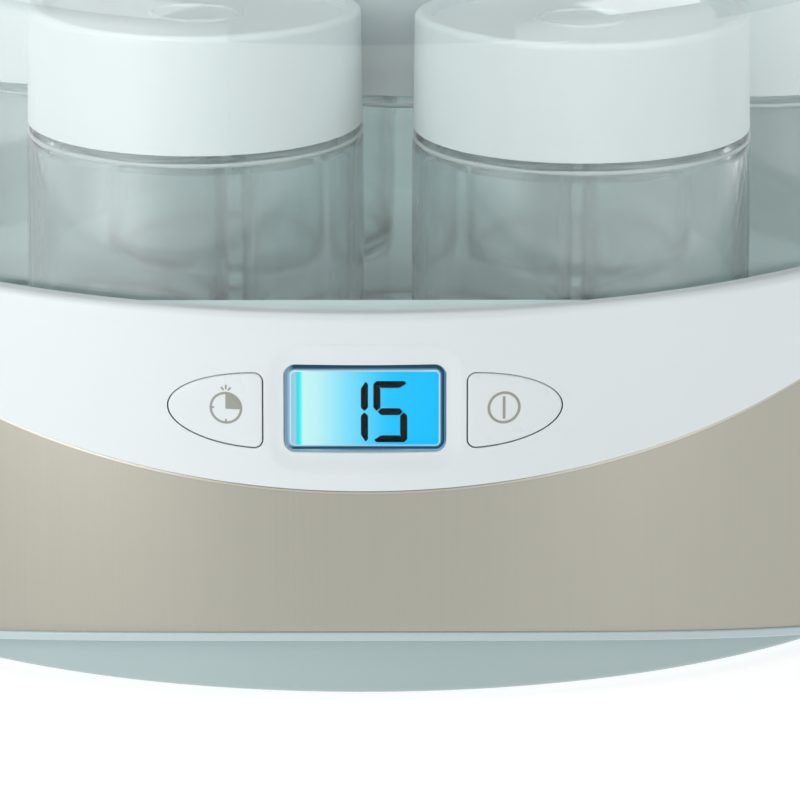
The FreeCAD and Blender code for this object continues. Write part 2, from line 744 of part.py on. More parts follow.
def make_control_board():
    blank = box(
        "control_board_blank", (2 * d.board_half_width, d.board_thick, d.board_tall),
        (-d.board_half_width, -d.board_front, d.board_low))
    holes = []
    for number, (across, height) in enumerate(BOARD_SCREWS):
        spot = (across, -d.board_front - CLEAR, height)
        hole_radius = BOARD_SCREW_RADIUS + BOARD_HOLE_GAP
        hole_long = d.board_thick + 2 * CLEAR
        holes.append(rod(f"control_board_hole_{number}", hole_radius, hole_long, spot, "y"))
    board = cut("control_board", blank, *holes)
    screws = []
    for number, (across, height) in enumerate(BOARD_SCREWS):
        spot = (across, d.board_thick - d.board_front, height)
        piece = board_screw(f"board_screw_{number}", spot)
        screws.append(place(piece, spot, (1, 0, 0), 90))
    buzzer_spot = (BUZZER_ACROSS, d.board_thick - d.board_front, BUZZER_HEIGHT)
    buzzer = rod("buzzer", BUZZER_RADIUS, BUZZER_THICK, buzzer_spot, "y")
    return [board, group("board_screws", screws), buzzer]


def make_switch(side, job):
    """A push switch on the control board and its plunger."""
    middle = side * d.stem_place
    half = d.switch_width / 2
    face = d.board_front + d.switch_thick
    case = box(
        f"{job}_switch_case", (d.switch_width, d.switch_thick, d.switch_width),
        (middle - half, -face, d.button_height - half))
    spot = (middle, -face - CLEAR, d.button_height)
    bore_long = d.switch_thick + CLEAR
    bore = rod(f"{job}_switch_bore", d.plunger_radius + PLUNGER_GAP, bore_long, spot, "y")
    switch = cut(f"{job}_switch", case, bore)
    tip = face + d.plunger_proud
    plunger = rod(
        f"{job}_plunger", d.plunger_radius, d.plunger_long, (middle, -tip, d.button_height), "y")
    return [switch, plunger]


def make_button(side, job):
    """A button: curved cap, rim behind the panel, and the stem that reaches the switch."""
    low, tall = d.panel_low, d.ring_top - d.panel_low
    cap_outline = half_ellipse(f"{job}_cap_outline", side, size_of(0))
    cap_shell = tube(f"{job}_cap_shell", d.button_skirt, d.body_radius + d.button_proud, low, tall)
    cap = common(f"{job}_cap", cap_outline, cap_shell)
    rim_outline = half_ellipse(f"{job}_rim_outline", side, d.button_rim)
    rim_shell = tube(f"{job}_rim_shell", d.button_rim_radius, d.button_skirt, low, tall)
    rim = common(f"{job}_rim", rim_outline, rim_shell)
    spot = (side * d.stem_place, -STEM_ROOT, d.button_height)
    stem = rod(f"{job}_stem", d.stem_radius, STEM_ROOT - d.stem_end, spot, "y")
    return fuse(f"{job}_button", cap, rim, stem)


# Power board and the wiring inside the base

power_board_top = d.power_board_z + d.board_thick


def make_power_board():
    corner = (POWER_BOARD_CORNER[0], POWER_BOARD_CORNER[1], d.power_board_z)
    blank = box("power_board_blank", (POWER_BOARD[0], POWER_BOARD[1], d.board_thick), corner)
    holes = []
    screws = []
    for number, (across, along) in enumerate(POWER_SCREWS):
        low = (across, along, d.power_board_z - CLEAR)
        hole_radius = BOARD_SCREW_RADIUS + BOARD_HOLE_GAP
        holes.append(rod(f"power_board_hole_{number}", hole_radius, d.board_thick + 2 * CLEAR, low))
        spot = (across, along, power_board_top)
        screws.append(board_screw(f"power_screw_{number}", spot, up=False))
    board = cut("power_board", blank, *holes)
    core = box("transformer_core", (36, 26, 20), (-46, 34, power_board_top))
    winding = box("transformer_winding", (24, 36, 16), (-40, 29, power_board_top + 2))
    transformer = fuse("transformer", core, winding)
    relay = box("relay", (19, 16, 15), (12, 28, power_board_top))
    capacitor = rod("filter_capacitor", 6.0, 16.0, (22, 56, power_board_top))
    terminals = box("terminal_block", (24, 10, 12), (-10, 66, power_board_top))
    return [board, group("power_board_screws", screws), transformer, relay, capacitor, terminals]


def make_heater_leads():
    """Two insulated leads from the terminal block forward and up to the heating film."""
    lead_radius = 0.9
    bend = 8.0
    start = 66.0
    turn_at = 18.0
    level = 17.0
    top = film_bottom.value
    leads = []
    for across in (-2.0, 3.0):
        first = FreeCAD.Vector(across, start, level)
        bend_in = FreeCAD.Vector(across, turn_at + bend, level)
        slant = bend * (1 - math.cos(math.radians(45)))
        bend_mid = FreeCAD.Vector(across, turn_at + slant, level + slant)
        bend_out = FreeCAD.Vector(across, turn_at, level + bend)
        last = FreeCAD.Vector(across, turn_at, top)
        path = Part.Wire([
            Part.LineSegment(first, bend_in).toShape(),
            Part.Arc(bend_in, bend_mid, bend_out).toShape(),
            Part.LineSegment(bend_out, last).toShape(),
        ])
        section = Part.Wire(Part.Circle(first, FreeCAD.Vector(0, 1, 0), lead_radius).toShape())
        leads.append(path.makePipeShell([section], True, False))
    wires = doc.addObject("Part::Feature", "heater_leads")
    wires.Shape = Part.makeCompound(leads)
    wires.Placement = FreeCAD.Placement()
    return wires


def make_board_ribbon():
    """Flat cable from the back of the control board down and across to the power board."""
    thick = 0.6
    bend = 4.0
    across = 24.0
    width = 12.0
    back = d.board_front - d.board_thick - 1.2
    top = d.board_low + 8
    level = power_board_top + 1.4
    end = POWER_BOARD_CORNER[1] + 4
    return padded("board_ribbon", "YZ_Plane", [
        (-back, top),
        (-back, level + bend),
        (bend - back, level, bend, 1),
        (end, level),
        (end, level + thick),
        (bend - back, level + thick),
        (thick - back, level + bend, bend - thick, -1),
        (thick - back, top),
    ], across, width)


def make_cord_gland():
    inner_end = d.gland_outer - d.gland_long
    sleeve = rod("gland_sleeve", d.gland_radius, d.gland_long, (0, inner_end, d.gland_height), "y")
    flange_spot = (0, inner_end, d.gland_height)
    flange = rod("gland_flange", d.gland_flange, d.gland_flange_thick, flange_spot, "y")
    bore_spot = (0, inner_end - CLEAR, d.gland_height)
    bore = rod("gland_bore", d.gland_bore, d.gland_long + 2 * CLEAR, bore_spot, "y")
    return cut("cord_gland", fuse("gland_body", sleeve, flange), bore)


# Cover, jars and lids

def make_cover():
    radius, shoulder = d.cover_shoulder_radius, d.cover_shoulder
    corner, crown, wall = d.cover_corner, d.cover_crown, d.cover_wall
    corner_middle = radius - corner
    crown_drop = root((crown - corner) * (crown - corner) - corner_middle * corner_middle)
    crown_middle = shoulder - crown_drop
    lean = corner_middle / (crown - corner)
    rise = crown_drop / (crown - corner)
    inner_crown = crown - wall
    return turned("cover", [
        (d.cover_radius, tub_rim),
        (radius, shoulder),
        (crown * lean, crown_middle + crown * rise, corner, 1),
        (0, crown_middle + crown, crown, 1),
        (0, crown_middle + inner_crown),
        (inner_crown * lean, crown_middle + inner_crown * rise, inner_crown, -1),
        (radius - wall, shoulder, corner - wall, -1),
        (d.cover_radius - wall, tub_rim),
    ])


JAR_LUG_LOW = 66.2
JAR_LUG_TALL = 1.6
JAR_LUG_HALF = 6.0
JAR_LUG_PROUD = 1.1
LID_LUG_LOW = 64.4
LID_LUG_TALL = 1.5
LID_LUG_HALF = 3.2
LUG_GAP = 0.5
LUG_ROOT = 1.3
LID_LUG_ROOT = 0.8
JAR_INNER_ROUND = 6.0
JAR_REST_WIDTH = 2.0
JAR_PUNT_SLOPE = 2.5
LID_RING_HALF = 0.6
LID_RING_TALL = 0.5
LID_DRAFT = 0.2
LID_DISH_SLOPE = 0.6


def make_jar(number):
    inside = d.jar_radius - d.jar_wall
    mouth = d.neck_radius - d.neck_wall
    shoulder = d.jar_radius - d.neck_radius
    inner_shoulder = inside - mouth
    foot = d.jar_radius - d.jar_foot_round
    lip = d.jar_tall - d.neck_round
    jar = turned(f"jar_{number}", [
        (0, d.jar_punt),
        (foot - JAR_REST_WIDTH - JAR_PUNT_SLOPE, d.jar_punt),
        (foot - JAR_REST_WIDTH, 0),
        (foot, 0),
        (d.jar_radius, d.jar_foot_round, d.jar_foot_round, 1),
        (d.jar_radius, d.jar_shoulder),
        (d.neck_radius, d.jar_shoulder + shoulder, shoulder, 1),
        (d.neck_radius, lip),
        (d.neck_radius - d.neck_round, d.jar_tall, d.neck_round, 1),
        (mouth + d.neck_round, d.jar_tall),
        (mouth, lip, d.neck_round, 1),
        (mouth, d.jar_shoulder + inner_shoulder),
        (inside, d.jar_shoulder, inner_shoulder, -1),
        (inside, d.jar_floor + JAR_INNER_ROUND),
        (inside - JAR_INNER_ROUND, d.jar_floor, JAR_INNER_ROUND, -1),
        (0, d.jar_floor),
    ])
    lug_root = d.neck_radius - LUG_ROOT
    lug_tip = d.neck_radius + JAR_LUG_PROUD
    add_lugs(jar, lug_root, lug_tip, JAR_LUG_HALF, JAR_LUG_LOW, JAR_LUG_TALL)
    return jar


def make_lid(number):
    skirt = d.lid_radius - d.lid_wall
    dish = d.jar_tall + d.lid_plate
    rim_inside = d.lid_top_radius - d.lid_rim_width
    ring_outside = d.lid_ring_radius + LID_RING_HALF
    ring_inside = d.lid_ring_radius - LID_RING_HALF
    ring_top = dish + LID_RING_TALL
    lid = turned(f"lid_{number}", [
        (0, d.jar_tall),
        (skirt - LID_DRAFT, d.jar_tall),
        (skirt, d.lid_bottom),
        (d.lid_radius, d.lid_bottom),
        (d.lid_top_radius, d.lid_top - d.lid_round),
        (d.lid_top_radius - d.lid_round, d.lid_top, d.lid_round, 1),
        (rim_inside, d.lid_top),
        (rim_inside - LID_DISH_SLOPE, dish),
        (ring_outside, dish),
        (ring_outside - LID_DRAFT, ring_top),
        (ring_inside + LID_DRAFT, ring_top),
        (ring_inside, dish),
        (0, dish),
    ])
    lug_root = skirt + LID_LUG_ROOT
    lug_tip = d.neck_radius + LUG_GAP
    add_lugs(lid, lug_tip, lug_root, LID_LUG_HALF, LID_LUG_LOW, LID_LUG_TALL)
    return lid


def make_jars():
    pieces = []
    for number in range(1, len(JAR_PLACES) + 1):
        across = getattr(d, f"jar_{number}_across")
        along = getattr(d, f"jar_{number}_along")
        for piece in (make_jar(number), make_lid(number)):
            pieces.append(place(piece, (across, along, d.tub_floor)))
    return pieces


sub_parts = [
    make_base_tray(),
    make_rubber_feet(),
    make_base_screws(),
    make_housing(),
    make_trim_band(),
    make_jar_tub(),
    *make_heater(),
    *make_display(),
    *make_control_board(),
    *make_switch(-1, "time"),
    *make_switch(1, "power"),
    make_button(-1, "time"),
    make_button(1, "power"),
    *make_power_board(),
    make_heater_leads(),
    make_board_ribbon(),
    make_cord_gland(),
    make_cover(),
    *make_jars(),
]
doc.recompute()

# Nothing is written unless every object of the document is sound

for thing in doc.Objects:
    if "Invalid" in thing.State or "Error" in thing.State:
        raise RuntimeError(f"{thing.Label} failed to build: {thing.State}")
for part in sub_parts:
    if part.Shape.isNull() or not part.Shape.isValid():
        raise RuntimeError(f"{part.Label} has no valid shape")

os.makedirs("parts", exist_ok=True)
for part in sub_parts:
    part.Label = part.Name
    part.Shape.exportStep(f"parts/{part.Label}.step")
    solids = len(part.Shape.Solids)
    print(f"{part.Label}: {solids} solid(s), {part.Shape.Volume / 1000:.2f} cm3")
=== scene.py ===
import math

import bmesh
import bpy
import numpy as np
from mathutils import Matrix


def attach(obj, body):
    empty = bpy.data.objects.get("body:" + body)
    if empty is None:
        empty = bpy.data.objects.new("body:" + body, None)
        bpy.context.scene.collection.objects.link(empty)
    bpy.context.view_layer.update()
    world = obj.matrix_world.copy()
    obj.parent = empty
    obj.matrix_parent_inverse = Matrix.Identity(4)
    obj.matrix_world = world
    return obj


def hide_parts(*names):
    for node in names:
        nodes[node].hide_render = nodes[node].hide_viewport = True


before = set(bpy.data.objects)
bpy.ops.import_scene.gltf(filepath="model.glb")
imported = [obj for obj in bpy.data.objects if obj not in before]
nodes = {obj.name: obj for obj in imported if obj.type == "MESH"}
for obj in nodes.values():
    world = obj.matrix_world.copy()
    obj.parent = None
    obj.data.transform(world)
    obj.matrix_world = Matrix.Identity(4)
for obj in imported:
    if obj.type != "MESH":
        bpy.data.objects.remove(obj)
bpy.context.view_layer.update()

MM = 0.001

# Base tray
# A shallow dish moulded in pale grey plastic that closes the body from below.
# It sits inside the housing's lip and is held by four screws from underneath.

DRIFT_SCALE = 16.0
GLOSS_SCALE = 90.0
GRAIN_SCALE = 2400.0
GRAIN_RELIEF = 0.08
GRAIN_DEPTH = 0.02


def add_node(tree, kind, values=(), **settings):
    """New shader node of a kind, with its settings and then the values of its inputs by name."""
    node = tree.nodes.new(f"ShaderNode{kind}")
    for name, value in settings.items():
        setattr(node, name, value)
    for name, value in dict(values).items():
        node.inputs[name].default_value = value
    return node


def new_material(name):
    """New node material: the material, its node tree and its shader."""
    material = bpy.data.materials.new(name)
    material.use_nodes = True
    tree = material.node_tree
    return material, tree, tree.nodes["Principled BSDF"]


def moulded_skin():
    """Node group of a moulded skin: slow drift between two tones, patchy gloss and a fine grain."""
    group = bpy.data.node_groups.new("moulded_skin", "ShaderNodeTree")
    face = group.interface
    for socket in ("Light tone", "Dark tone"):
        face.new_socket(socket, in_out="INPUT", socket_type="NodeSocketColor")
    for socket in ("Smoothest", "Roughest", "Grain size"):
        face.new_socket(socket, in_out="INPUT", socket_type="NodeSocketFloat")
    face.new_socket("Tone", in_out="OUTPUT", socket_type="NodeSocketColor")
    for socket in ("Roughness", "Grain"):
        face.new_socket(socket, in_out="OUTPUT", socket_type="NodeSocketFloat")
    given = group.nodes.new("NodeGroupInput")
    result = group.nodes.new("NodeGroupOutput")
    place = add_node(group, "TexCoord")
    drift = add_node(group, "TexNoise", {"Scale": DRIFT_SCALE, "Detail": 3.0})
    gloss = add_node(group, "TexNoise", {"Scale": GLOSS_SCALE, "Detail": 4.0})
    grain = add_node(group, "TexNoise", {"Detail": 2.0})
    tone = add_node(group, "Mix", data_type="RGBA")
    spread = add_node(group, "MapRange")
    link = group.links.new
    for texture in (drift, gloss, grain):
        link(place.outputs["Object"], texture.inputs["Vector"])
    link(given.outputs["Grain size"], grain.inputs["Scale"])
    link(drift.outputs["Fac"], tone.inputs["Factor"])
    link(given.outputs["Light tone"], tone.inputs["A"])
    link(given.outputs["Dark tone"], tone.inputs["B"])
    link(gloss.outputs["Fac"], spread.inputs["Value"])
    link(given.outputs["Smoothest"], spread.inputs["To Min"])
    link(given.outputs["Roughest"], spread.inputs["To Max"])
    link(tone.outputs["Result"], result.inputs["Tone"])
    link(spread.outputs["Result"], result.inputs["Roughness"])
    link(grain.outputs["Fac"], result.inputs["Grain"])
    return group


MOULDED_SKIN = moulded_skin()


def moulded(name, light, dark, smoothest, roughest, relief=GRAIN_RELIEF, grain_size=GRAIN_SCALE):
    """Moulded plastic or rubber with the skin group; relief is the strength of its grain."""
    material, tree, shader = new_material(name)
    look = {
        "Light tone": (*light, 1),
        "Dark tone": (*dark, 1),
        "Smoothest": smoothest,
        "Roughest": roughest,
        "Grain size": grain_size,
    }
    skin = add_node(tree, "Group", look, node_tree=MOULDED_SKIN)
    bump = add_node(tree, "Bump", {"Strength": relief, "Distance": GRAIN_DEPTH * MM})
    link = tree.links.new
    link(skin.outputs["Tone"], shader.inputs["Base Color"])
    link(skin.outputs["Roughness"], shader.inputs["Roughness"])
    link(skin.outputs["Grain"], bump.inputs["Height"])
    link(bump.outputs["Normal"], shader.inputs["Normal"])
    return material


def paint(material, *names):
    """Give a material to pieces of the assembly, by their names."""
    for name in names:
        for place in nodes[name].material_slots:
            place.material = material


base_grey = moulded(
    "base_grey", light=(0.44, 0.54, 0.545), dark=(0.4, 0.5, 0.505), smoothest=0.38, roughest=0.48)
paint(base_grey, "base_tray")

# Rubber feet
# Four soft dark pads pressed into round seats under the tray.
# They keep the maker from sliding and hold it a millimetre off the table.

foot_rubber = moulded(
    "foot_rubber", light=(0.05, 0.052, 0.055), dark=(0.035, 0.036, 0.04),
    smoothest=0.62, roughest=0.8, relief=0.5)
paint(foot_rubber, "rubber_feet")

# Screws
# Four tapping screws from below and eight small ones on the two boards.
# Zinc-plated steel with turned heads.

TOOL_LINE_STRETCH = 0.1
TOOL_LINE_GLOSS = (0.75, 1.25)


def turned_metal(name, light, dark, roughness, line_size):
    """Bare metal with fine tool lines: bands of noise stretched across the height set tone and gloss."""
    material, tree, shader = new_material(name)
    shader.inputs["Metallic"].default_value = 1.0
    low, high = TOOL_LINE_GLOSS
    place = add_node(tree, "TexCoord")
    stretch = add_node(tree, "Mapping", {"Scale": (line_size, line_size, TOOL_LINE_STRETCH * line_size)})
    lines = add_node(tree, "TexNoise", {"Scale": 1.0, "Detail": 3.0})
    tone = add_node(tree, "Mix", {"A": (*dark, 1), "B": (*light, 1)}, data_type="RGBA")
    spread = add_node(tree, "MapRange", {"To Min": low * roughness, "To Max": high * roughness})
    link = tree.links.new
    link(place.outputs["Object"], stretch.inputs["Vector"])
    link(stretch.outputs["Vector"], lines.inputs["Vector"])
    link(lines.outputs["Fac"], tone.inputs["Factor"])
    link(lines.outputs["Fac"], spread.inputs["Value"])
    link(tone.outputs["Result"], shader.inputs["Base Color"])
    link(spread.outputs["Result"], shader.inputs["Roughness"])
    return material


screw_steel = turned_metal(
    "screw_steel", light=(0.66, 0.66, 0.64), dark=(0.5, 0.5, 0.49), roughness=0.32, line_size=900.0)
paint(screw_steel, "base_screws", "board_screws", "power_board_screws")

# Power board
# Glass-fibre board screwed to four pillars of the tray, with the transformer, relay,
# capacitor and terminal block soldered on, and two leads up to the heater.

board_green = moulded(
    "board_green", light=(0.03, 0.17, 0.075), dark=(0.022, 0.12, 0.055),
    smoothest=0.28, roughest=0.4, relief=0.3, grain_size=700.0)
paint(board_green, "power_board", "control_board")
transformer_core = moulded(
    "transformer_core", light=(0.16, 0.15, 0.14), dark=(0.1, 0.095, 0.09),
    smoothest=0.4, roughest=0.6, relief=0.4)
paint(transformer_core, "transformer")
relay_case = moulded(
    "relay_case", light=(0.03, 0.09, 0.26), dark=(0.022, 0.07, 0.2), smoothest=0.3, roughest=0.42)
paint(relay_case, "relay")
capacitor_sleeve = moulded(
    "capacitor_sleeve", light=(0.03, 0.032, 0.04), dark=(0.02, 0.022, 0.03), smoothest=0.25, roughest=0.36)
paint(capacitor_sleeve, "filter_capacitor")
terminal_grey = moulded(
    "terminal_grey", light=(0.34, 0.36, 0.37), dark=(0.27, 0.29, 0.3), smoothest=0.4, roughest=0.55)
paint(terminal_grey, "terminal_block")
wire_insulation = moulded(
    "wire_insulation", light=(0.5, 0.06, 0.04), dark=(0.4, 0.045, 0.03), smoothest=0.35, roughest=0.5)
paint(wire_insulation, "heater_leads")

# Heater
# Under the tub lie an aluminium spreader, a printed heating film and a felt pad,
# with a thermistor and a thermal fuse clamped against the spreader.

spreader_aluminium = turned_metal(
    "spreader_aluminium", light=(0.82, 0.83, 0.84), dark=(0.68, 0.69, 0.7), roughness=0.36, line_size=700.0)
paint(spreader_aluminium, "heater_plate")
heater_film = moulded(
    "heater_film", light=(0.42, 0.19, 0.05), dark=(0.33, 0.14, 0.035),
    smoothest=0.3, roughest=0.45, relief=0.3, grain_size=500.0)
paint(heater_film, "heating_film")
insulation_felt = moulded(
    "insulation_felt", light=(0.55, 0.53, 0.48), dark=(0.42, 0.4, 0.36),
    smoothest=0.85, roughest=0.97, relief=1.0, grain_size=900.0)
paint(insulation_felt, "heater_insulation")
sensor_epoxy = moulded(
    "sensor_epoxy", light=(0.02, 0.02, 0.022), dark=(0.014, 0.014, 0.016), smoothest=0.25, roughest=0.4)
paint(sensor_epoxy, "thermistor")
fuse_metal = turned_metal(
    "fuse_metal", light=(0.72, 0.71, 0.68), dark=(0.58, 0.57, 0.55), roughness=0.3, line_size=900.0)
paint(fuse_metal, "thermal_fuse")

# Cord gland
# A black rubber sleeve in the back wall that the mains lead would pass through.
# Its flange sits inside the wall and keeps it in its hole.

gland_rubber = moulded(
    "gland_rubber", light=(0.045, 0.046, 0.05), dark=(0.03, 0.031, 0.034),
    smoothest=0.55, roughest=0.72, relief=0.5)
paint(gland_rubber, "cord_gland")

# Housing
# One glossy moulding: the control panel in front and the ring on top are white, the lip below carries
# painted shade, grey like the tray, and the metal band is glued into the recess between them.

WHITE_LIGHT = (0.785, 0.845, 0.86)
WHITE_DARK = (0.75, 0.81, 0.825)
WHITE_COAT = 0.15
# Grey of the painted shade on the lip.
LIP_SHADE_GREY = (0.5, 0.61, 0.63)
LIP_BACK = (-95.0, 6.3)
LIP_FRONT = (-135.0, 16.5)


def paint_lip_shade(tree, shader):
    """Painted shade on the lip: all that lies below a limit, which rises over the front as the lip's arch
    does, turns grey.

    The limit climbs along Y from the depth and height of LIP_BACK to those of LIP_FRONT.
    """
    skin_tone = shader.inputs["Base Color"].links[0].from_socket
    place = add_node(tree, "TexCoord")
    parts = add_node(tree, "SeparateXYZ")
    limit = add_node(tree, "MapRange")
    for end, (depth, height) in (("Min", LIP_BACK), ("Max", LIP_FRONT)):
        limit.inputs[f"From {end}"].default_value = depth * MM
        limit.inputs[f"To {end}"].default_value = height * MM
    above = add_node(tree, "Math", operation="GREATER_THAN")
    tone = add_node(tree, "Mix", {"A": (*LIP_SHADE_GREY, 1)}, data_type="RGBA")
    link = tree.links.new
    link(place.outputs["Object"], parts.inputs["Vector"])
    link(parts.outputs["Y"], limit.inputs["Value"])
    link(parts.outputs["Z"], above.inputs[0])
    link(limit.outputs["Result"], above.inputs[1])
    link(above.outputs["Value"], tone.inputs["Factor"])
    link(skin_tone, tone.inputs["B"])
    link(tone.outputs["Result"], shader.inputs["Base Color"])


housing_white = moulded(
    "housing_white", light=WHITE_LIGHT, dark=WHITE_DARK, smoothest=0.26, roughest=0.34, relief=0.04)
housing_shader = housing_white.node_tree.nodes["Principled BSDF"]
housing_shader.inputs["Coat Weight"].default_value = WHITE_COAT
paint_lip_shade(housing_white.node_tree, housing_shader)
paint(housing_white, "housing")

# Recess round the display
# A soft shallow dish in the panel that runs down to the window on all sides.
# It is part of the same white moulding.

PANEL_RADIUS = 135.0
WINDOW_HEIGHT = 63.05
WINDOW = (33.0, 18.3, 2.2)
WINDOW_MARGIN = 0.3
OPENING_GAP = 0.12
OPENING_DEPTHS = (0.15, 0.9, 2.2)
DISH = (41.3, 27.6, 7.1)
DISH_DEPTH = 0.75
DISH_LIFT = 0.015
DISH_ROWS = 22
SAME_POINT = 1e-7


def rounded_box(width, tall, corner, side_steps=12, arc_steps=10):
    """Rounded rectangle as (x, z) points about its middle, from four quarter arcs joined by straight sides.

    The count and order of points don't depend on the size, so that two such outlines pair up.
    """
    arc = np.linspace(0, math.pi / 2, arc_steps)
    outline = []
    for turn, (side_x, side_z) in enumerate(((1, 1), (-1, 1), (-1, -1), (1, -1))):
        middle = np.array([side_x * (width / 2 - corner), side_z * (tall / 2 - corner)])
        angle = arc + turn * math.pi / 2
        outline.append(middle + corner * np.column_stack([np.cos(angle), np.sin(angle)]))
    loop = []
    for turn in range(4):
        start = outline[turn][-1]
        end = outline[(turn + 1) % 4][0]
        share = np.linspace(0, 1, side_steps)[1:-1, None]
        loop += [outline[turn], start + share * (end - start)]
    return np.vstack(loop)


def add_object(name, data):
    """New object for a mesh, a lamp or a camera."""
    thing = bpy.data.objects.new(name, data)
    bpy.context.collection.objects.link(thing)
    return thing


def grid_piece(name, points, close_rows=False, close_columns=False, closed=True):
    """Mesh over a grid of points given in millimetres, rows by columns, with doubled points merged.

    close_rows joins the last row to the first, close_columns the last column to the first.
    The faces of a closed shell are turned outwards; an open sheet keeps the order of its rows.
    """
    rows, columns = points.shape[:2]
    index = np.arange(rows * columns).reshape(rows, columns)
    if close_rows:
        index = np.vstack([index, index[:1]])
    if close_columns:
        index = np.hstack([index, index[:, :1]])
    quads = np.stack([index[:-1, :-1], index[:-1, 1:], index[1:, 1:], index[1:, :-1]], axis=-1)
    mesh = bpy.data.meshes.new(name)
    mesh.from_pydata((points.reshape(-1, 3) * MM).tolist(), [], quads.reshape(-1, 4).tolist())
    shell = bmesh.new()
    shell.from_mesh(mesh)
    bmesh.ops.remove_doubles(shell, verts=shell.verts, dist=SAME_POINT)
    if closed:
        bmesh.ops.recalc_face_normals(shell, faces=shell.faces)
    shell.to_mesh(mesh)
    shell.free()
    mesh.shade_smooth()
    return add_object(name, mesh)


def on_drum(across, height, radius):
    """Points of a panel wrapped on an upright drum: y = -sqrt(radius^2 - x^2)."""
    depth = -np.sqrt(radius ** 2 - across ** 2)
    return np.stack([across, depth, height + 0 * across], axis=-1)


def window_dish():
    """Rows of rounded rectangles shrink from the rim to the window while the drum's radius eases down.

    The radius falls by the dish's depth along 3s^2 - 2s^3, then the last rows turn in through the wall.
    """
    rows = []
    for share in np.linspace(0, 1, DISH_ROWS):
        size = [rim + share * (edge + WINDOW_MARGIN - rim) for rim, edge in zip(DISH, WINDOW)]
        ease = 3 * share ** 2 - 2 * share ** 3
        outline = rounded_box(*size)
        radius = PANEL_RADIUS + DISH_LIFT - DISH_DEPTH * ease
        rows.append(on_drum(outline[:, 0], WINDOW_HEIGHT + outline[:, 1], radius))
    width, tall, corner = WINDOW
    opening = rounded_box(width + 2 * OPENING_GAP, tall + 2 * OPENING_GAP, corner + OPENING_GAP)
    for inward in OPENING_DEPTHS:
        radius = PANEL_RADIUS - DISH_DEPTH - inward
        rows.append(on_drum(opening[:, 0], WINDOW_HEIGHT + opening[:, 1], radius))
    return grid_piece("window_dish", np.stack(rows)[::-1], close_columns=True, closed=False)


dish = window_dish()
dish.data.materials.append(housing_white)
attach(dish, "base_unit")

# Upper edge of the ring
# The rounded edge and the flat rim of the same white moulding, next to the clear cover.
# It runs all round the body.

RING_TOP = 83.1
RING_ROUND = 1.5
RING_INSIDE = 130.85
RING_LOW = 79.5
RING_LIFT = 0.008
RING_EASE = 0.25
RING_POINTS = 720
RING_BEND_POINTS = 13


def ring_edge():
    """Turned skin a hair outside the wall: up it, round a quarter circle and inwards over the flat rim."""
    bend = np.linspace(0, math.pi / 2, RING_BEND_POINTS)
    middle = PANEL_RADIUS - RING_ROUND
    start = RING_TOP - RING_ROUND
    curve = RING_ROUND + RING_LIFT
    wall = middle + curve
    top = start + curve
    radius = np.concatenate([[wall, wall], middle + curve * np.cos(bend), [middle - RING_EASE, RING_INSIDE]])
    height = np.concatenate([[RING_LOW, start - RING_EASE], start + curve * np.sin(bend), [top, top]])
    around = np.linspace(0, 2 * math.pi, RING_POINTS, endpoint=False)[:, None]
    points = np.stack([-radius * np.sin(around), -radius * np.cos(around), height + 0 * around], axis=-1)
    return grid_piece("ring_edge", points, close_rows=True, closed=False)


edge_skin = ring_edge()
edge_skin.data.materials.append(housing_white)
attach(edge_skin, "base_unit")

# Metal band
# A strip of thin champagne-coloured stainless steel, brushed upright, with rounded edges.
# It is bent round the body and glued into the recess between the lip and the panel.

BAND_RADIUS = 134.45
BAND_THICK = 0.58
BAND_EDGE = 0.25
BAND_POINTS = 361
BAND_ROWS = (0.0, 0.9, 18)
BAND_TOP_ROWS = (0.915, 1.0, 7)
BAND_BEND_POINTS = 5
LIP_TOP = 5.6
ARCH_TOP = 13.9
ARCH_RADIUS = 454.0
LIP = 1.6
PANEL_LOW = 45.55
PANEL_SLOPE = 0.4185
RING_BOTTOM = 74.95
PILLAR_HALF = 22.05
BAND_DARK = (0.402, 0.393, 0.335)
BAND_LIGHT = (0.444, 0.434, 0.374)
BAND_GLOSS = (0.25, 0.36)
STREAK_SCALES = (4200.0, 4200.0, 10.0)
STREAK_RELIEF = 0.12
STREAK_DEPTH = 0.01
# Shades of the painted highlight and shadow lines under the band's upper edge, by millimetres below it.
EDGE_LIGHT_AND_SHADOW = ((0.0, 0.4), (0.12, 0.5), (0.24, 0.72), (0.62, 0.7), (0.74, 0.38), (0.86, 0.46), (1.0, 0.5))


def panel_edge(along):
    """Height of the panel's lower edge at a place along Y: a tilted plane that ends at the ring."""
    return np.minimum(PANEL_LOW + PANEL_SLOPE * (PANEL_RADIUS + along), RING_BOTTOM)


def corner_places(piece):
    """The points of a piece's mesh in millimetres, one row each."""
    places = np.empty(len(piece.data.vertices) * 3)
    piece.data.vertices.foreach_get("co", places)
    return places.reshape(-1, 3) / MM


def point_values(piece, name, values):
    """Store a value at each point of a piece's mesh, under a name that its material reads."""
    store = piece.data.attributes.new(name, "FLOAT", "POINT")
    store.data.foreach_set("value", values)


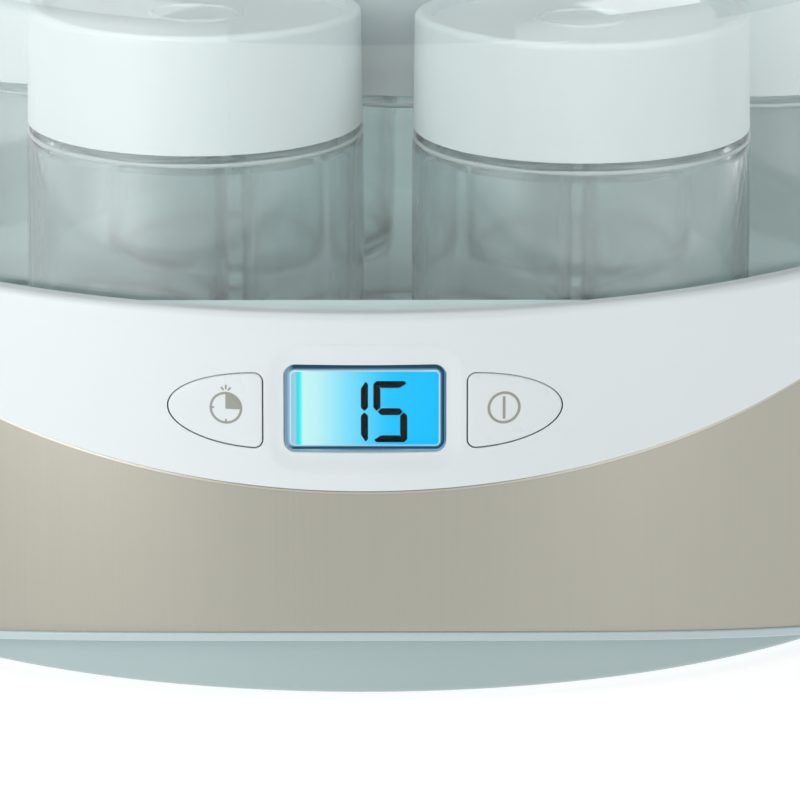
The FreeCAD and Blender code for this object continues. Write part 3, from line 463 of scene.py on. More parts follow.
def metal_band():
    """Strip round the drum, angle by height, between the lip's arch and the tilted plane of the panel's edge.

    The section runs up the outside, with closer points near the top, then over the rounded top edge,
    down the inside and under the bottom edge.
    """
    end = math.asin(PILLAR_HALF / BAND_RADIUS)
    angle = np.linspace(end, 2 * math.pi - end, BAND_POINTS)[:, None]
    across = BAND_RADIUS * np.sin(angle)
    along = BAND_RADIUS * np.cos(angle)
    arch = ARCH_TOP - ARCH_RADIUS + np.sqrt((ARCH_RADIUS + LIP) ** 2 - across ** 2)
    low = np.where(along < 0, np.maximum(arch, LIP_TOP), LIP_TOP)
    high = panel_edge(along)
    climb = np.concatenate([np.linspace(*BAND_ROWS), np.linspace(*BAND_TOP_ROWS)])
    bend = np.linspace(0, math.pi / 2, BAND_BEND_POINTS)[1:]
    outside = low + BAND_EDGE + (high - low - 2 * BAND_EDGE) * climb
    over = high - BAND_EDGE + BAND_EDGE * np.sin(bend)
    under = low + BAND_EDGE - BAND_EDGE * np.sin(bend[::-1])
    height = np.hstack([outside, over, under])
    turn = BAND_EDGE * (1 - np.cos(bend))
    reach = BAND_RADIUS - np.concatenate([np.zeros(len(climb)), turn, turn[::-1]])
    front = np.stack([reach * np.sin(angle), reach * np.cos(angle), height], axis=-1)
    inner = BAND_RADIUS - BAND_THICK
    back_height = np.hstack([high, low])
    spread = 0 * back_height
    back = np.stack([inner * np.sin(angle) + spread, inner * np.cos(angle) + spread, back_height], axis=-1)
    top = len(climb) + len(bend)
    loop = np.concatenate([front[:, :top], back, front[:, top:]], axis=1)
    strip = grid_piece("metal_band", loop, close_columns=True)
    places = corner_places(strip)
    point_values(strip, "below_edge", panel_edge(places[:, 1]) - places[:, 2])
    return strip


def fill_ramp(ramp, stops):
    """Give a colour ramp its stops, each a position and a colour."""
    elements = ramp.color_ramp.elements
    while len(elements) < len(stops):
        elements.new(1.0)
    for element, (position, colour) in zip(elements, stops):
        element.position = position
        element.color = (*colour, 1)


def brushed_champagne():
    """Satin steel: streaks of noise, very fine round the body and long up it, set tone, gloss and relief.

    Within a millimetre of the upper edge a painted highlight line, between a painted shadow line at the edge
    and a fine painted shadow line below it, is toned in.
    """
    material, tree, shader = new_material("band_metal")
    shader.inputs["Metallic"].default_value = 1.0
    smoothest, roughest = BAND_GLOSS
    place = add_node(tree, "TexCoord")
    stretch = add_node(tree, "Mapping", {"Scale": STREAK_SCALES})
    streaks = add_node(tree, "TexNoise", {"Scale": 1.0, "Detail": 4.0})
    tone = add_node(tree, "Mix", {"A": (*BAND_DARK, 1), "B": (*BAND_LIGHT, 1)}, data_type="RGBA")
    spread = add_node(tree, "MapRange", {"To Min": smoothest, "To Max": roughest})
    below = add_node(tree, "Attribute", attribute_name="below_edge")
    # Painted light and shade along the upper edge: a shadow line at the edge, a highlight line, then a fine
    # shadow line.
    rim = add_node(tree, "ValToRGB")
    fill_ramp(rim, [(share, (shade, shade, shade)) for share, shade in EDGE_LIGHT_AND_SHADOW])
    edge_lit_tone = add_node(tree, "Mix", {"Factor": 1.0}, data_type="RGBA", blend_type="SOFT_LIGHT")
    bump = add_node(tree, "Bump", {"Strength": STREAK_RELIEF, "Distance": STREAK_DEPTH * MM})
    link = tree.links.new
    link(place.outputs["Object"], stretch.inputs["Vector"])
    link(stretch.outputs["Vector"], streaks.inputs["Vector"])
    link(streaks.outputs["Fac"], tone.inputs["Factor"])
    link(streaks.outputs["Fac"], spread.inputs["Value"])
    link(streaks.outputs["Fac"], bump.inputs["Height"])
    link(below.outputs["Fac"], rim.inputs["Fac"])
    link(tone.outputs["Result"], edge_lit_tone.inputs["A"])
    link(rim.outputs["Color"], edge_lit_tone.inputs["B"])
    link(edge_lit_tone.outputs["Result"], shader.inputs["Base Color"])
    link(spread.outputs["Result"], shader.inputs["Roughness"])
    link(bump.outputs["Normal"], shader.inputs["Normal"])
    return material


band = metal_band()
band.data.materials.append(brushed_champagne())
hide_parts("trim_band")
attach(band, "base_unit")

# Tub
# A pale grey moulded basin hung by its flange in the ring, with a flat front wall.
# The jars stand on its floor.

tub_grey = moulded("tub_grey", light=(0.79, 0.9, 0.9), dark=(0.73, 0.85, 0.85), smoothest=0.3, roughest=0.42)
paint(tub_grey, "jar_tub")

# Control board
# A small board behind the panel, on four bosses of the housing, with two push switches,
# a buzzer, the backlight block of the display, and a flat cable down to the power board.

switch_black = moulded(
    "switch_black", light=(0.025, 0.025, 0.028), dark=(0.018, 0.018, 0.02), smoothest=0.35, roughest=0.5)
paint(switch_black, "buzzer", "time_switch", "power_switch")
plunger_white = moulded(
    "plunger_white", light=(0.72, 0.72, 0.7), dark=(0.65, 0.65, 0.63), smoothest=0.35, roughest=0.5)
paint(plunger_white, "time_plunger", "power_plunger")
light_block = moulded(
    "light_block", light=(0.75, 0.85, 0.88), dark=(0.68, 0.8, 0.84), smoothest=0.4, roughest=0.5)
paint(light_block, "lcd_backlight")
ribbon_grey = moulded(
    "ribbon_grey", light=(0.42, 0.43, 0.44), dark=(0.34, 0.35, 0.36),
    smoothest=0.45, roughest=0.6, relief=0.4, grain_size=500.0)
paint(ribbon_grey, "board_ribbon")

# Display glass
# A liquid-crystal cell lit from behind and from its left edge, mint there and deep blue at the right.
# It is clamped between the window and the backlight block.

LCD_HALF = 15.5
LCD_UNLIT = (0.004, 0.01, 0.015)
LCD_COLOURS = (
    (0.0, (0.3, 0.55, 0.68)),
    (0.04, (0.35, 0.62, 0.75)),
    (0.052, (0.02, 0.72, 0.84)),
    (0.072, (0.06, 0.84, 0.9)),
    (0.092, (0.58, 0.93, 0.9)),
    (0.17, (0.53, 0.9, 0.92)),
    (0.365, (0.23, 0.76, 0.94)),
    (0.5, (0.1, 0.66, 0.96)),
    (0.65, (0.012, 0.55, 0.98)),
    (1.0, (0.0, 0.52, 0.99)),
)


def lit_lcd():
    """Glow of the cell: a ramp of colours across its width, on a surface that is nearly black when unlit."""
    material, tree, shader = new_material("lcd_glass")
    shader.inputs["Roughness"].default_value = 0.35
    shader.inputs["Specular IOR Level"].default_value = 0.0
    shader.inputs["Emission Strength"].default_value = 1.0
    place = add_node(tree, "TexCoord")
    across = add_node(tree, "SeparateXYZ")
    spread = add_node(tree, "MapRange", {"From Min": -LCD_HALF * MM, "From Max": LCD_HALF * MM})
    ramp = add_node(tree, "ValToRGB")
    fill_ramp(ramp, LCD_COLOURS)
    dark = add_node(tree, "Mix", {"Factor": 0.99, "B": (*LCD_UNLIT, 1)}, data_type="RGBA")
    link = tree.links.new
    link(place.outputs["Object"], across.inputs["Vector"])
    link(across.outputs["X"], spread.inputs["Value"])
    link(spread.outputs["Result"], ramp.inputs["Fac"])
    link(ramp.outputs["Color"], shader.inputs["Emission Color"])
    link(ramp.outputs["Color"], dark.inputs["A"])
    link(dark.outputs["Result"], shader.inputs["Base Color"])
    return material


paint(lit_lcd(), "lcd_panel")

# Display digits
# Seven-segment figures of the liquid crystal, opaque black where they are switched on.
# They show a running time of fifteen hours.

LCD_FRONT = 130.52
DIGIT_LOW = 55.2
DIGIT_TALL = 12.94
DIGIT_WIDTH = 6.95
DIGIT_STROKE = 1.46
ONE_LEFT = -6.33
FIVE_LEFT = 1.7
SEGMENT_GAP = 0.14
SEGMENT_TIP = 0.35


def seven_segments(left, width):
    """The seven bars of one figure as six-cornered plates, by their usual letters.

    Bars along the rim are mitred at their ends with the tips cut off; the middle bar is pointed at both ends.
    """
    right = left + width
    low = DIGIT_LOW
    top = DIGIT_LOW + DIGIT_TALL
    middle = (low + top) / 2
    stroke = DIGIT_STROKE
    half = stroke / 2
    tip = SEGMENT_TIP * stroke
    gap = SEGMENT_GAP

    def flat(outer, inner):
        """Bar along the top or the bottom, between its outer and inner height."""
        cut = outer + tip * np.sign(inner - outer)
        return [
            (left + gap + tip, outer), (right - gap - tip, outer), (right - gap, cut),
            (right - gap - stroke, inner), (left + gap + stroke, inner), (left + gap, cut)]

    def upright(outer, inner, end, waist):
        """Bar along a side, from the top or bottom end to the waist."""
        away = np.sign(waist - end)
        cut = outer + tip * np.sign(inner - outer)
        shoulder = waist - away * (gap + half)
        return [
            (outer, end + away * (gap + tip)), (outer, shoulder), ((outer + inner) / 2, waist - away * gap),
            (inner, shoulder), (inner, end + away * (gap + stroke)), (cut, end + away * gap)]

    return {
        "a": flat(top, top - stroke),
        "b": upright(right, right - stroke, top, middle),
        "c": upright(right, right - stroke, low, middle),
        "d": flat(low, low + stroke),
        "e": upright(left, left + stroke, low, middle),
        "f": upright(left, left + stroke, top, middle),
        "g": [
            (left + half + gap, middle),
            (left + stroke + gap, middle + half),
            (right - stroke - gap, middle + half),
            (right - half - gap, middle),
            (right - stroke - gap, middle - half),
            (left + stroke + gap, middle - half)],
    }


def front_sheet(name, points, faces):
    """Thin sheet over points in millimetres, with every face turned to the front."""
    mesh = bpy.data.meshes.new(name)
    mesh.from_pydata((points * MM).tolist(), [], faces.tolist())
    sheet = bmesh.new()
    sheet.from_mesh(mesh)
    for face in sheet.faces:
        if face.normal.y > 0:
            face.normal_flip()
    sheet.to_mesh(mesh)
    sheet.free()
    return add_object(name, mesh)


def plates(name, outlines, front):
    """Flat six-cornered plates on a plane that faces -Y."""
    corners = np.array(outlines, dtype=float)
    points = np.stack([corners[..., 0], np.full(corners.shape[:2], -front), corners[..., 1]], axis=-1)
    faces = np.arange(points.shape[0] * points.shape[1]).reshape(points.shape[:2])
    return front_sheet(name, points.reshape(-1, 3), faces)


one = seven_segments(ONE_LEFT, DIGIT_WIDTH)
five = seven_segments(FIVE_LEFT, DIGIT_WIDTH)
lit = [one[letter] for letter in "bc"] + [five[letter] for letter in "afgcd"]
digits = plates("display_digits", lit, LCD_FRONT)
digit_black = moulded(
    "digit_black", light=(0.003, 0.004, 0.005), dark=(0.002, 0.0025, 0.003), smoothest=0.5, roughest=0.6)
digit_black.node_tree.nodes["Principled BSDF"].inputs["Specular IOR Level"].default_value = 0.0
digits.data.materials.append(digit_black)
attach(digits, "base_unit")

# Display window
# A clear acrylic block with a bevelled front, pressed into the panel from inside.
# Its bevel is a sheet with painted glow: bands of blue that stand in for the display's light in the acrylic
# and its refracted edges.

WINDOW_FRONT = 133.4
WINDOW_BEVEL = 1.4
BEVEL_LIFT = 0.03
BEVEL_ROWS = 12
# Painted glow and shade across the bevel, by the share of its width.
BEVEL_GLOW_COLOURS = (
    (0.0, (0.2, 0.52, 0.72)),
    (0.14, (0.12, 0.36, 0.54)),
    (0.26, (0.012, 0.045, 0.09)),
    (0.6, (0.02, 0.075, 0.13)),
    (0.76, (0.16, 0.32, 0.44)),
    (0.9, (0.42, 0.62, 0.72)),
    (1.0, (0.6, 0.8, 0.88)),
)
LAMP_SIDE_GLOW = (0.36, 0.55, 0.68)
LAMP_SIDE_SHARE = 0.62
LAMP_SIDE_START = -14.6
LAMP_SIDE_FULL = -15.6
CLEAR_TINT_DRIFT = 0.985
CLEAR_GLOSS = (0.6, 1.4)
CLEAR_WAVE_DEPTH = 0.2


def clear(name, tint, roughness, ior, relief, wave_size, upright=1.0):
    """Clear glass or acrylic with a faint waviness, longer up the wall by a factor.

    Shadow rays pass straight through, as in thin clear walls.
    """
    material, tree, shader = new_material(name)
    shader.inputs["Transmission Weight"].default_value = 1.0
    shader.inputs["IOR"].default_value = ior
    low, high = CLEAR_GLOSS
    drifted = [CLEAR_TINT_DRIFT * value for value in tint]
    once = [value ** 0.5 for value in tint]
    place = add_node(tree, "TexCoord")
    stretch = add_node(tree, "Mapping", {"Scale": (wave_size, wave_size, wave_size / upright)})
    waves = add_node(tree, "TexNoise", {"Scale": 1.0, "Detail": 2.0})
    tone = add_node(tree, "Mix", {"A": (*tint, 1), "B": (*drifted, 1)}, data_type="RGBA")
    spread = add_node(tree, "MapRange", {"To Min": low * roughness, "To Max": high * roughness})
    bump = add_node(tree, "Bump", {"Strength": relief, "Distance": CLEAR_WAVE_DEPTH * MM})
    open_shader = add_node(tree, "BsdfTransparent", {"Color": (*once, 1)})
    path = add_node(tree, "LightPath")
    choice = add_node(tree, "MixShader")
    link = tree.links.new
    link(place.outputs["Object"], stretch.inputs["Vector"])
    link(stretch.outputs["Vector"], waves.inputs["Vector"])
    link(waves.outputs["Fac"], tone.inputs["Factor"])
    link(waves.outputs["Fac"], spread.inputs["Value"])
    link(waves.outputs["Fac"], bump.inputs["Height"])
    link(tone.outputs["Result"], shader.inputs["Base Color"])
    link(spread.outputs["Result"], shader.inputs["Roughness"])
    link(bump.outputs["Normal"], shader.inputs["Normal"])
    link(path.outputs["Is Shadow Ray"], choice.inputs["Fac"])
    link(shader.outputs["BSDF"], choice.inputs[1])
    link(open_shader.outputs["BSDF"], choice.inputs[2])
    link(choice.outputs["Shader"], tree.nodes["Material Output"].inputs["Surface"])
    return material


window_clear = clear(
    "window_clear", tint=(0.97, 0.99, 1.0), roughness=0.02, ior=1.2, relief=0.0, wave_size=60.0)
paint(window_clear, "display_window")


def window_bevel():
    """Rows of rounded rectangles from the window's side over its bevel to the front, a hair outside them."""
    width, tall, corner = WINDOW
    rows = []
    for share in np.linspace(0, 1, BEVEL_ROWS):
        cut = share * WINDOW_BEVEL
        outline = rounded_box(width - 2 * cut, tall - 2 * cut, corner - cut)
        depth = np.full(len(outline), WINDOW_BEVEL - cut - WINDOW_FRONT - BEVEL_LIFT)
        rows.append(np.column_stack([outline[:, 0], depth, WINDOW_HEIGHT + outline[:, 1]]))
    ring = grid_piece("window_bevel", np.stack(rows)[::-1], close_columns=True, closed=False)
    front = -corner_places(ring)[:, 1]
    point_values(ring, "bevel_share", 1 - (WINDOW_FRONT + BEVEL_LIFT - front) / WINDOW_BEVEL)
    return ring


def glowing_bevel():
    """Painted glow of the acrylic edge: bands of pale and deep blue along the bevel, by the share of its
    width.

    On the left, next to the lamp, the painted bands fade into a pale blue glow.
    """
    material, tree, shader = new_material("bevel_painted_glow")
    shader.inputs["Roughness"].default_value = 0.12
    shader.inputs["Emission Strength"].default_value = 0.25
    share = add_node(tree, "Attribute", attribute_name="bevel_share")
    ramp = add_node(tree, "ValToRGB")
    fill_ramp(ramp, BEVEL_GLOW_COLOURS)
    place = add_node(tree, "TexCoord")
    across = add_node(tree, "SeparateXYZ")
    reach = {
        "From Min": LAMP_SIDE_START * MM,
        "From Max": LAMP_SIDE_FULL * MM,
        "To Max": LAMP_SIDE_SHARE,
    }
    left_side = add_node(tree, "MapRange", reach)
    tone = add_node(tree, "Mix", {"B": (*LAMP_SIDE_GLOW, 1)}, data_type="RGBA")
    link = tree.links.new
    link(share.outputs["Fac"], ramp.inputs["Fac"])
    link(place.outputs["Object"], across.inputs["Vector"])
    link(across.outputs["X"], left_side.inputs["Value"])
    link(left_side.outputs["Result"], tone.inputs["Factor"])
    link(ramp.outputs["Color"], tone.inputs["A"])
    # Painted glow: the same bands give the base colour and a faint emission.
    link(tone.outputs["Result"], shader.inputs["Base Color"])
    link(tone.outputs["Result"], shader.inputs["Emission Color"])
    return material


bevel = window_bevel()
bevel.data.materials.append(glowing_bevel())
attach(bevel, "base_unit")

# Buttons
# Two white caps that stand a little proud of the panel, with the time and power signs printed in grey.
# Each is a curved half oval on a stem; a rim behind the panel keeps it in.

BUTTON_SIDE = 21.0
BUTTON_LONG = 19.3
BUTTON_HALF_TALL = 7.85
BUTTON_CORNER = 1.7
BUTTON_HEIGHT = 62.5
BUTTON_FACE = 135.2
BUTTON_BACK = 131.4
BUTTON_EDGE = 0.45
BUTTON_CROWN = 0.12
BUTTON_CROWN_SHARE = 0.4
BUTTON_MIDDLE = 0.42
BUTTON_BOW_POINTS = 72
BUTTON_CORNER_POINTS = 9
BUTTON_SIDE_POINTS = 14
BUTTON_EDGE_ROWS = 7
BUTTON_FACE_ROWS = (0.97, 0.0, 24)
STEM_PLACE = 29.0
STEM_RADIUS = 2.2
STEM_ROOT = 131.0
STEM_END = 124.1
STEM_POINTS = 24
INK_LIFT = 0.02
RING_STEPS = 90
TIME_SIGN = (-28.42, 62.84)
TIME_RING = (2.86, 3.36)
TIME_LINE = 0.36
TIME_QUARTER = 3.15
TIME_QUARTER_SHIFT = (-0.1, -0.2)
TIME_BARS = (
    ((-2.95, 0.0), (-2.4, 0.0)),
    ((0.0, -2.95), (0.0, -2.35)),
    ((0.0, 3.95), (0.0, 4.85)),
    ((-0.45, 3.72), (-1.0, 4.35)),
    ((0.45, 3.72), (1.0, 4.35)),
)
POWER_SIGN = (28.43, 62.85)
POWER_RING = (2.84, 3.4)
POWER_LINE = 0.58
POWER_REACH = 2.35


def half_oval(side):
    """A button's outline as (x, z) points: half an ellipse, closed by a straight side with two round corners.

    The points run anticlockwise for the right button; the left one is its mirror image, run backwards.
    """
    reach = math.acos(BUTTON_CORNER / BUTTON_LONG)
    swing = np.linspace(-reach, reach, BUTTON_BOW_POINTS)
    bow = np.column_stack([BUTTON_LONG * np.cos(swing), BUTTON_HALF_TALL * np.sin(swing)])
    quarter = np.linspace(0, math.pi / 2, BUTTON_CORNER_POINTS)[1:]
    corner_height = bow[-1, 1] - BUTTON_CORNER
    high = np.column_stack([
        BUTTON_CORNER - BUTTON_CORNER * np.sin(quarter), corner_height + BUTTON_CORNER * np.cos(quarter)])
    side_height = np.linspace(corner_height, -corner_height, BUTTON_SIDE_POINTS)[1:-1]
    side_line = np.column_stack([0 * side_height, side_height])
    low = (high * (1, -1))[::-1]
    outline = np.vstack([bow, high, side_line, low]) + (BUTTON_SIDE, 0)
    if side < 0:
        outline = (outline * (-1, 1))[::-1]
    return outline


def inset(outline, distance):
    """The outline moved inwards: each point goes along the left normal of the line between its neighbours."""
    along = np.roll(outline, -1, axis=0) - np.roll(outline, 1, axis=0)
    inward = np.column_stack([-along[:, 1], along[:, 0]]) / np.linalg.norm(along, axis=1)[:, None]
    return outline + distance * inward


def button_cap(name, side):
    """Rows of the outline from the middle of the back, over skirt and edge, to the middle of the face.

    The edge is a quarter round and the face bulges gently; each point lies on the drum of its radius.
    """
    outline = half_oval(side)
    middle = np.array([side * (BUTTON_SIDE + BUTTON_MIDDLE * BUTTON_LONG), 0])
    steps = [(0 * outline + middle, BUTTON_BACK), (outline, BUTTON_BACK)]
    for turn in np.linspace(0, math.pi / 2, BUTTON_EDGE_ROWS):
        radius = BUTTON_FACE - BUTTON_CROWN - BUTTON_EDGE * (1 - math.sin(turn))
        steps.append((inset(outline, BUTTON_EDGE * (1 - math.cos(turn))), radius))
    shoulder = inset(outline, BUTTON_EDGE)
    for share in np.linspace(*BUTTON_FACE_ROWS):
        rise = min(1.0, (1 - share) / BUTTON_CROWN_SHARE)
        steps.append((middle + share * (shoulder - middle), BUTTON_FACE - BUTTON_CROWN * (1 - rise) ** 2))
    rows = [on_drum(line[:, 0], BUTTON_HEIGHT + line[:, 1], radius) for line, radius in steps]
    return grid_piece(name, np.stack(rows), close_columns=True)


def button_stem(name, side):
    """Round rod behind a cap: circles about a line along Y, closed at both ends by their middle points."""
    turn = np.linspace(0, 2 * math.pi, STEM_POINTS, endpoint=False)
    rows = []
    for radius, depth in ((0, STEM_ROOT), (STEM_RADIUS, STEM_ROOT), (STEM_RADIUS, STEM_END), (0, STEM_END)):
        across = side * STEM_PLACE + radius * np.cos(turn)
        height = BUTTON_HEIGHT + radius * np.sin(turn)
        rows.append(np.column_stack([across, np.full(STEM_POINTS, -depth), height]))
    return grid_piece(name, np.stack(rows), close_columns=True)


def printed(name, patches):
    """Ink on a button's face: grids of (x, z) points laid on the drum a hair above it, facing outwards."""
    points = []
    quads = []
    count = 0
    for patch in patches:
        rows, columns = patch.shape[:2]
        index = count + np.arange(rows * columns).reshape(rows, columns)
        corners = [index[:-1, :-1], index[:-1, 1:], index[1:, 1:], index[1:, :-1]]
        quads.append(np.stack(corners, axis=-1).reshape(-1, 4))
        points.append(on_drum(patch[..., 0], patch[..., 1], BUTTON_FACE + INK_LIFT).reshape(-1, 3))
        count += rows * columns
    return front_sheet(name, np.vstack(points), np.vstack(quads))


def ring_sector(middle, inner, outer, start, end, steps=40):
    """Sector of a ring: radius by angle, in degrees from straight right, anticlockwise."""
    angle = np.radians(np.linspace(start, end, steps))[:, None]
    radius = np.linspace(inner, outer, 4)
    return np.stack([middle[0] + radius * np.cos(angle), middle[1] + radius * np.sin(angle)], axis=-1)


def bar(start, end, width):
    """Straight bar between two points."""
    start, end = np.array(start), np.array(end)
    along = (end - start) / np.linalg.norm(end - start)
    across = np.array([-along[1], along[0]]) * width / 2
    share = np.linspace(0, 1, 4)[:, None, None]
    edge = np.linspace(-1, 1, 3)[None, :, None]
    return start + share * (end - start) + edge * across


def time_sign():
    """Clock: a ring, a filled quarter at its upper right, ticks at the left and below, three rays on top."""
    ring = ring_sector(TIME_SIGN, *TIME_RING, 0, 360, RING_STEPS)
    quarter = ring_sector(np.add(TIME_SIGN, TIME_QUARTER_SHIFT), 0.0, TIME_QUARTER, 0, 90)
    bars = [bar(np.add(TIME_SIGN, start), np.add(TIME_SIGN, end), TIME_LINE) for start, end in TIME_BARS]
    return [ring, quarter, *bars]


def power_sign():
    """Switch: a ring round an upright bar."""
    x, z = POWER_SIGN
    ring = ring_sector(POWER_SIGN, *POWER_RING, 0, 360, RING_STEPS)
    return [ring, bar((x, z - POWER_REACH), (x, z + POWER_REACH), POWER_LINE)]


button_white = moulded(
    "button_white", light=WHITE_LIGHT, dark=WHITE_DARK, smoothest=0.24, roughest=0.32, relief=0.04)
button_white.node_tree.nodes["Principled BSDF"].inputs["Coat Weight"].default_value = WHITE_COAT
sign_ink = moulded(
    "sign_ink", light=(0.36, 0.36, 0.315), dark=(0.33, 0.33, 0.285), smoothest=0.45, roughest=0.6)
for job, side, sign in (("time", -1, time_sign()), ("power", 1, power_sign())):
    cap = button_cap(f"{job}_cap", side)
    stem = button_stem(f"{job}_stem", side)
    mark = printed(f"{job}_sign", sign)
    for piece, finish in ((cap, button_white), (stem, button_white), (mark, sign_ink)):
        piece.data.materials.append(finish)
        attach(piece, f"{job}_button")
    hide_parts(f"{job}_button")

# Cover
# A clear drum of moulded polystyrene that stands loose on the tub's flange inside the ring.
# It keeps the warm air in and lifts straight off.

cover_clear = clear(
    "cover_clear", tint=(0.955, 0.985, 0.98), roughness=0.015, ior=1.52, relief=0.02, wave_size=25.0)
paint(cover_clear, "cover")

# Jars
# Seven blown glass jars with a rounded shoulder and a lugged neck, and a pale ring round each shoulder as a
# painted highlight.
# They stand loose on the tub's floor.

JARS = range(1, 8)
JAR_TRANSMISSION = 0.975
GLINT_RADIUS = 34.62
GLINT_HEIGHT = 106.35
GLINT_SIZE = 0.5
GLINT_WAVES = ((0.09, 5, 1.0), (0.06, 11, 0.4))
GLINT_POINTS = 144
GLINT_SECTION_POINTS = 12

jar_glass = clear(
    "jar_glass", tint=(0.96, 0.994, 0.994), roughness=0.06, ior=1.5, relief=0.45, wave_size=75.0, upright=3.0)
jar_glass.node_tree.nodes["Principled BSDF"].inputs["Transmission Weight"].default_value = JAR_TRANSMISSION
paint(jar_glass, *[f"jar_{number}" for number in JARS])


def shoulder_glint_ring(name, middle):
    """Pale ring on the jar's shoulder, carrying a painted highlight: a ring about the jar's axis.

    The thickness of its round section swells and shrinks along it by two sine waves.
    """
    around = np.linspace(0, 2 * math.pi, GLINT_POINTS, endpoint=False)[:, None]
    section = np.linspace(0, 2 * math.pi, GLINT_SECTION_POINTS, endpoint=False)
    size = GLINT_SIZE + sum(share * np.sin(count * around + start) for share, count, start in GLINT_WAVES)
    reach = GLINT_RADIUS + size * np.cos(section)
    points = np.stack([
        middle[0] + reach * np.cos(around),
        middle[1] + reach * np.sin(around),
        GLINT_HEIGHT + size * np.sin(section)], axis=-1)
    return grid_piece(name, points, close_rows=True, close_columns=True)


# Painted highlight: the ring's pale rough tone stands in for the light that the shoulder catches under the
# lid.
shoulder_glint_paint = moulded(
    "shoulder_glint_paint", light=(0.53, 0.6, 0.6), dark=(0.4, 0.46, 0.46),
    smoothest=0.35, roughest=0.5, relief=0.8, grain_size=1200.0)
for number in JARS:
    corners = np.array([corner[:] for corner in nodes[f"jar_{number}"].bound_box]) / MM
    glint_ring = shoulder_glint_ring(f"jar_{number}_bead", (corners.min(0) + corners.max(0)) / 2)
    glint_ring.data.materials.append(shoulder_glint_paint)
    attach(glint_ring, f"jar_{number}")

# Lids
# White moulded caps with a dished top and a plain skirt.
# Each is held on its jar's lugs by an eighth of a turn.

lid_white = moulded(
    "lid_white", light=(0.77, 0.825, 0.835), dark=(0.735, 0.79, 0.8),
    smoothest=0.3, roughest=0.4, relief=0.008)
paint(lid_white, *[f"lid_{number}" for number in JARS])

# Floor, lights and camera
# A white table, large soft lights at the left and right, a strip above, and two low white cards.
# The camera stands far off in front and a little above, as in a catalogue picture.

FLOOR = -0.1 * MM
FLOOR_HALF = 4
FLOOR_GLOW = 0.8
CARD_RADIUS = 450.0
CARD_LOW = 5.0
CARD_TALL = 260.0
CARD_GREY = 0.6
CARD_END = 0.72
CARD_EASE = 0.7
CARD_FADE = 0.35
CARD_COLUMNS = 49
CARD_ROWS = 9
SKY_COLOUR = (0.93, 0.97, 1.0)
SKY_STRENGTH = 0.26
LIGHT_BOUNCES = 32
CAMERA_PLACE = (0, -1.9402, 0.5465)
CAMERA_AIM = (0.00765, -0.0075, 0.0312)
CAMERA_LENS = 412.2
CAMERA_SENSOR = 36.0
CAMERA_REACH = 50.0

floor_corners = [(FLOOR_HALF * x, FLOOR_HALF * y, FLOOR) for x, y in ((-1, -1), (1, -1), (1, 1), (-1, 1))]
floor_mesh = bpy.data.meshes.new("floor")
floor_mesh.from_pydata(floor_corners, [], [(0, 1, 2, 3)])
floor = add_object("floor", floor_mesh)
floor_white = moulded(
    "floor_white", light=(0.32, 0.32, 0.32), dark=(0.3, 0.3, 0.3),
    smoothest=0.8, roughest=0.9, relief=0.05, grain_size=300.0)
floor_shader = floor_white.node_tree.nodes["Principled BSDF"]
floor_shader.inputs["Emission Color"].default_value = (1, 1, 1, 1)
floor_shader.inputs["Emission Strength"].default_value = FLOOR_GLOW
floor.data.materials.append(floor_white)


def soft_light(name, azimuth, distance, height, aim_height, width, tall, power):
    """Rectangular lamp at an azimuth from the front, in degrees to the right, turned to the body's axis."""
    data = bpy.data.lights.new(name, "AREA")
    data.shape = "RECTANGLE"
    data.size = width
    data.size_y = tall
    data.energy = power
    lamp = add_object(name, data)
    angle = math.radians(azimuth)
    lamp.location = (distance * math.sin(angle), -distance * math.cos(angle), height)
    drop = math.atan2(height - aim_height, distance)
    lamp.rotation_euler = (math.pi / 2 - drop, 0, angle)


soft_light(
    "left_light", azimuth=-58, distance=1.3, height=0.62, aim_height=0.06, width=0.9, tall=1.2, power=5.7)
soft_light(
    "right_light", azimuth=56, distance=1.4, height=0.6, aim_height=0.06, width=0.5, tall=1.1, power=5.5)
soft_light(
    "top_light", azimuth=0, distance=0.5, height=1.6, aim_height=0.05, width=1.7, tall=0.3, power=5.0)


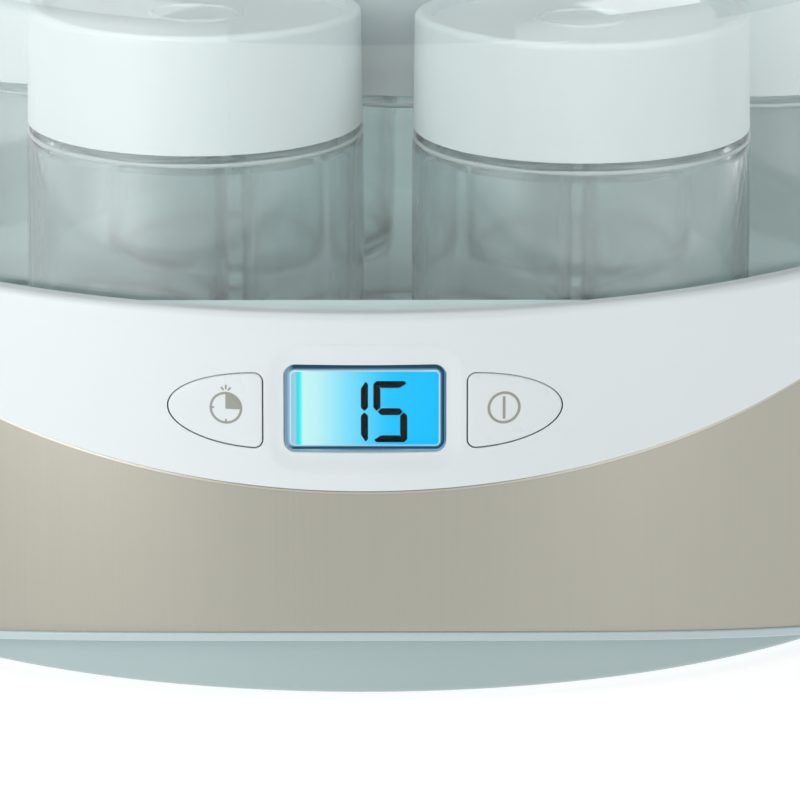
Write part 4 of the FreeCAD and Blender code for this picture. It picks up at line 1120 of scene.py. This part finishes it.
def glowing_card(name, start, end, strength):
    """White card bent round the table: azimuth by height on a drum.

    Its glow eases off towards its ends, to that of the table, and fades out towards the top.
    """
    azimuth = np.radians(np.linspace(start, end, CARD_COLUMNS))[:, None]
    height = np.linspace(CARD_LOW, CARD_TALL, CARD_ROWS)
    points = np.stack([
        CARD_RADIUS * np.sin(azimuth) + 0 * height,
        -CARD_RADIUS * np.cos(azimuth) + 0 * height,
        height + 0 * azimuth], axis=-1)
    card = grid_piece(name, points, closed=False)
    places = corner_places(card)
    turned = np.degrees(np.arctan2(places[:, 0], -places[:, 1]))
    inside = 1 - np.abs(2 * (turned - start) / (end - start) - 1)
    along = np.clip(inside / CARD_EASE, 0, 1)
    upward = np.clip((CARD_TALL - places[:, 2]) / (CARD_FADE * CARD_TALL), 0, 1)
    ease = along * along * (3 - 2 * along)
    point_values(card, "glow", (ease + (1 - ease) * CARD_END / strength) * upward)
    material, tree, shader = new_material(name)
    shader.inputs["Base Color"].default_value = (CARD_GREY, CARD_GREY, CARD_GREY, 1)
    shader.inputs["Roughness"].default_value = 0.9
    shader.inputs["Emission Strength"].default_value = strength
    reading = add_node(tree, "Attribute", attribute_name="glow")
    tree.links.new(reading.outputs["Color"], shader.inputs["Emission Color"])
    card.data.materials.append(material)
    card.visible_camera = False


glowing_card("left_card", start=-22, end=-74, strength=2.15)
glowing_card("right_card", start=24, end=60, strength=0.98)

scene = bpy.context.scene
world = bpy.data.worlds.new("studio")
world.use_nodes = True
sky = world.node_tree.nodes["Background"]
sky.inputs["Color"].default_value = (*SKY_COLOUR, 1)
sky.inputs["Strength"].default_value = SKY_STRENGTH
scene.world = world
scene.view_settings.view_transform = "Standard"
scene.cycles.max_bounces = LIGHT_BOUNCES
scene.cycles.transmission_bounces = LIGHT_BOUNCES
scene.cycles.transparent_max_bounces = LIGHT_BOUNCES

camera_data = bpy.data.cameras.new("camera")
camera_data.lens = CAMERA_LENS
camera_data.sensor_width = CAMERA_SENSOR
camera_data.clip_end = CAMERA_REACH
camera = add_object("camera", camera_data)
camera.location = CAMERA_PLACE
aim = np.array(CAMERA_AIM) - np.array(camera.location)
heading = math.atan2(-aim[0], aim[1])
pitch = math.atan2(aim[2], math.hypot(aim[0], aim[1]))
camera.rotation_euler = (math.pi / 2 + pitch, 0, heading)
scene.camera = camera
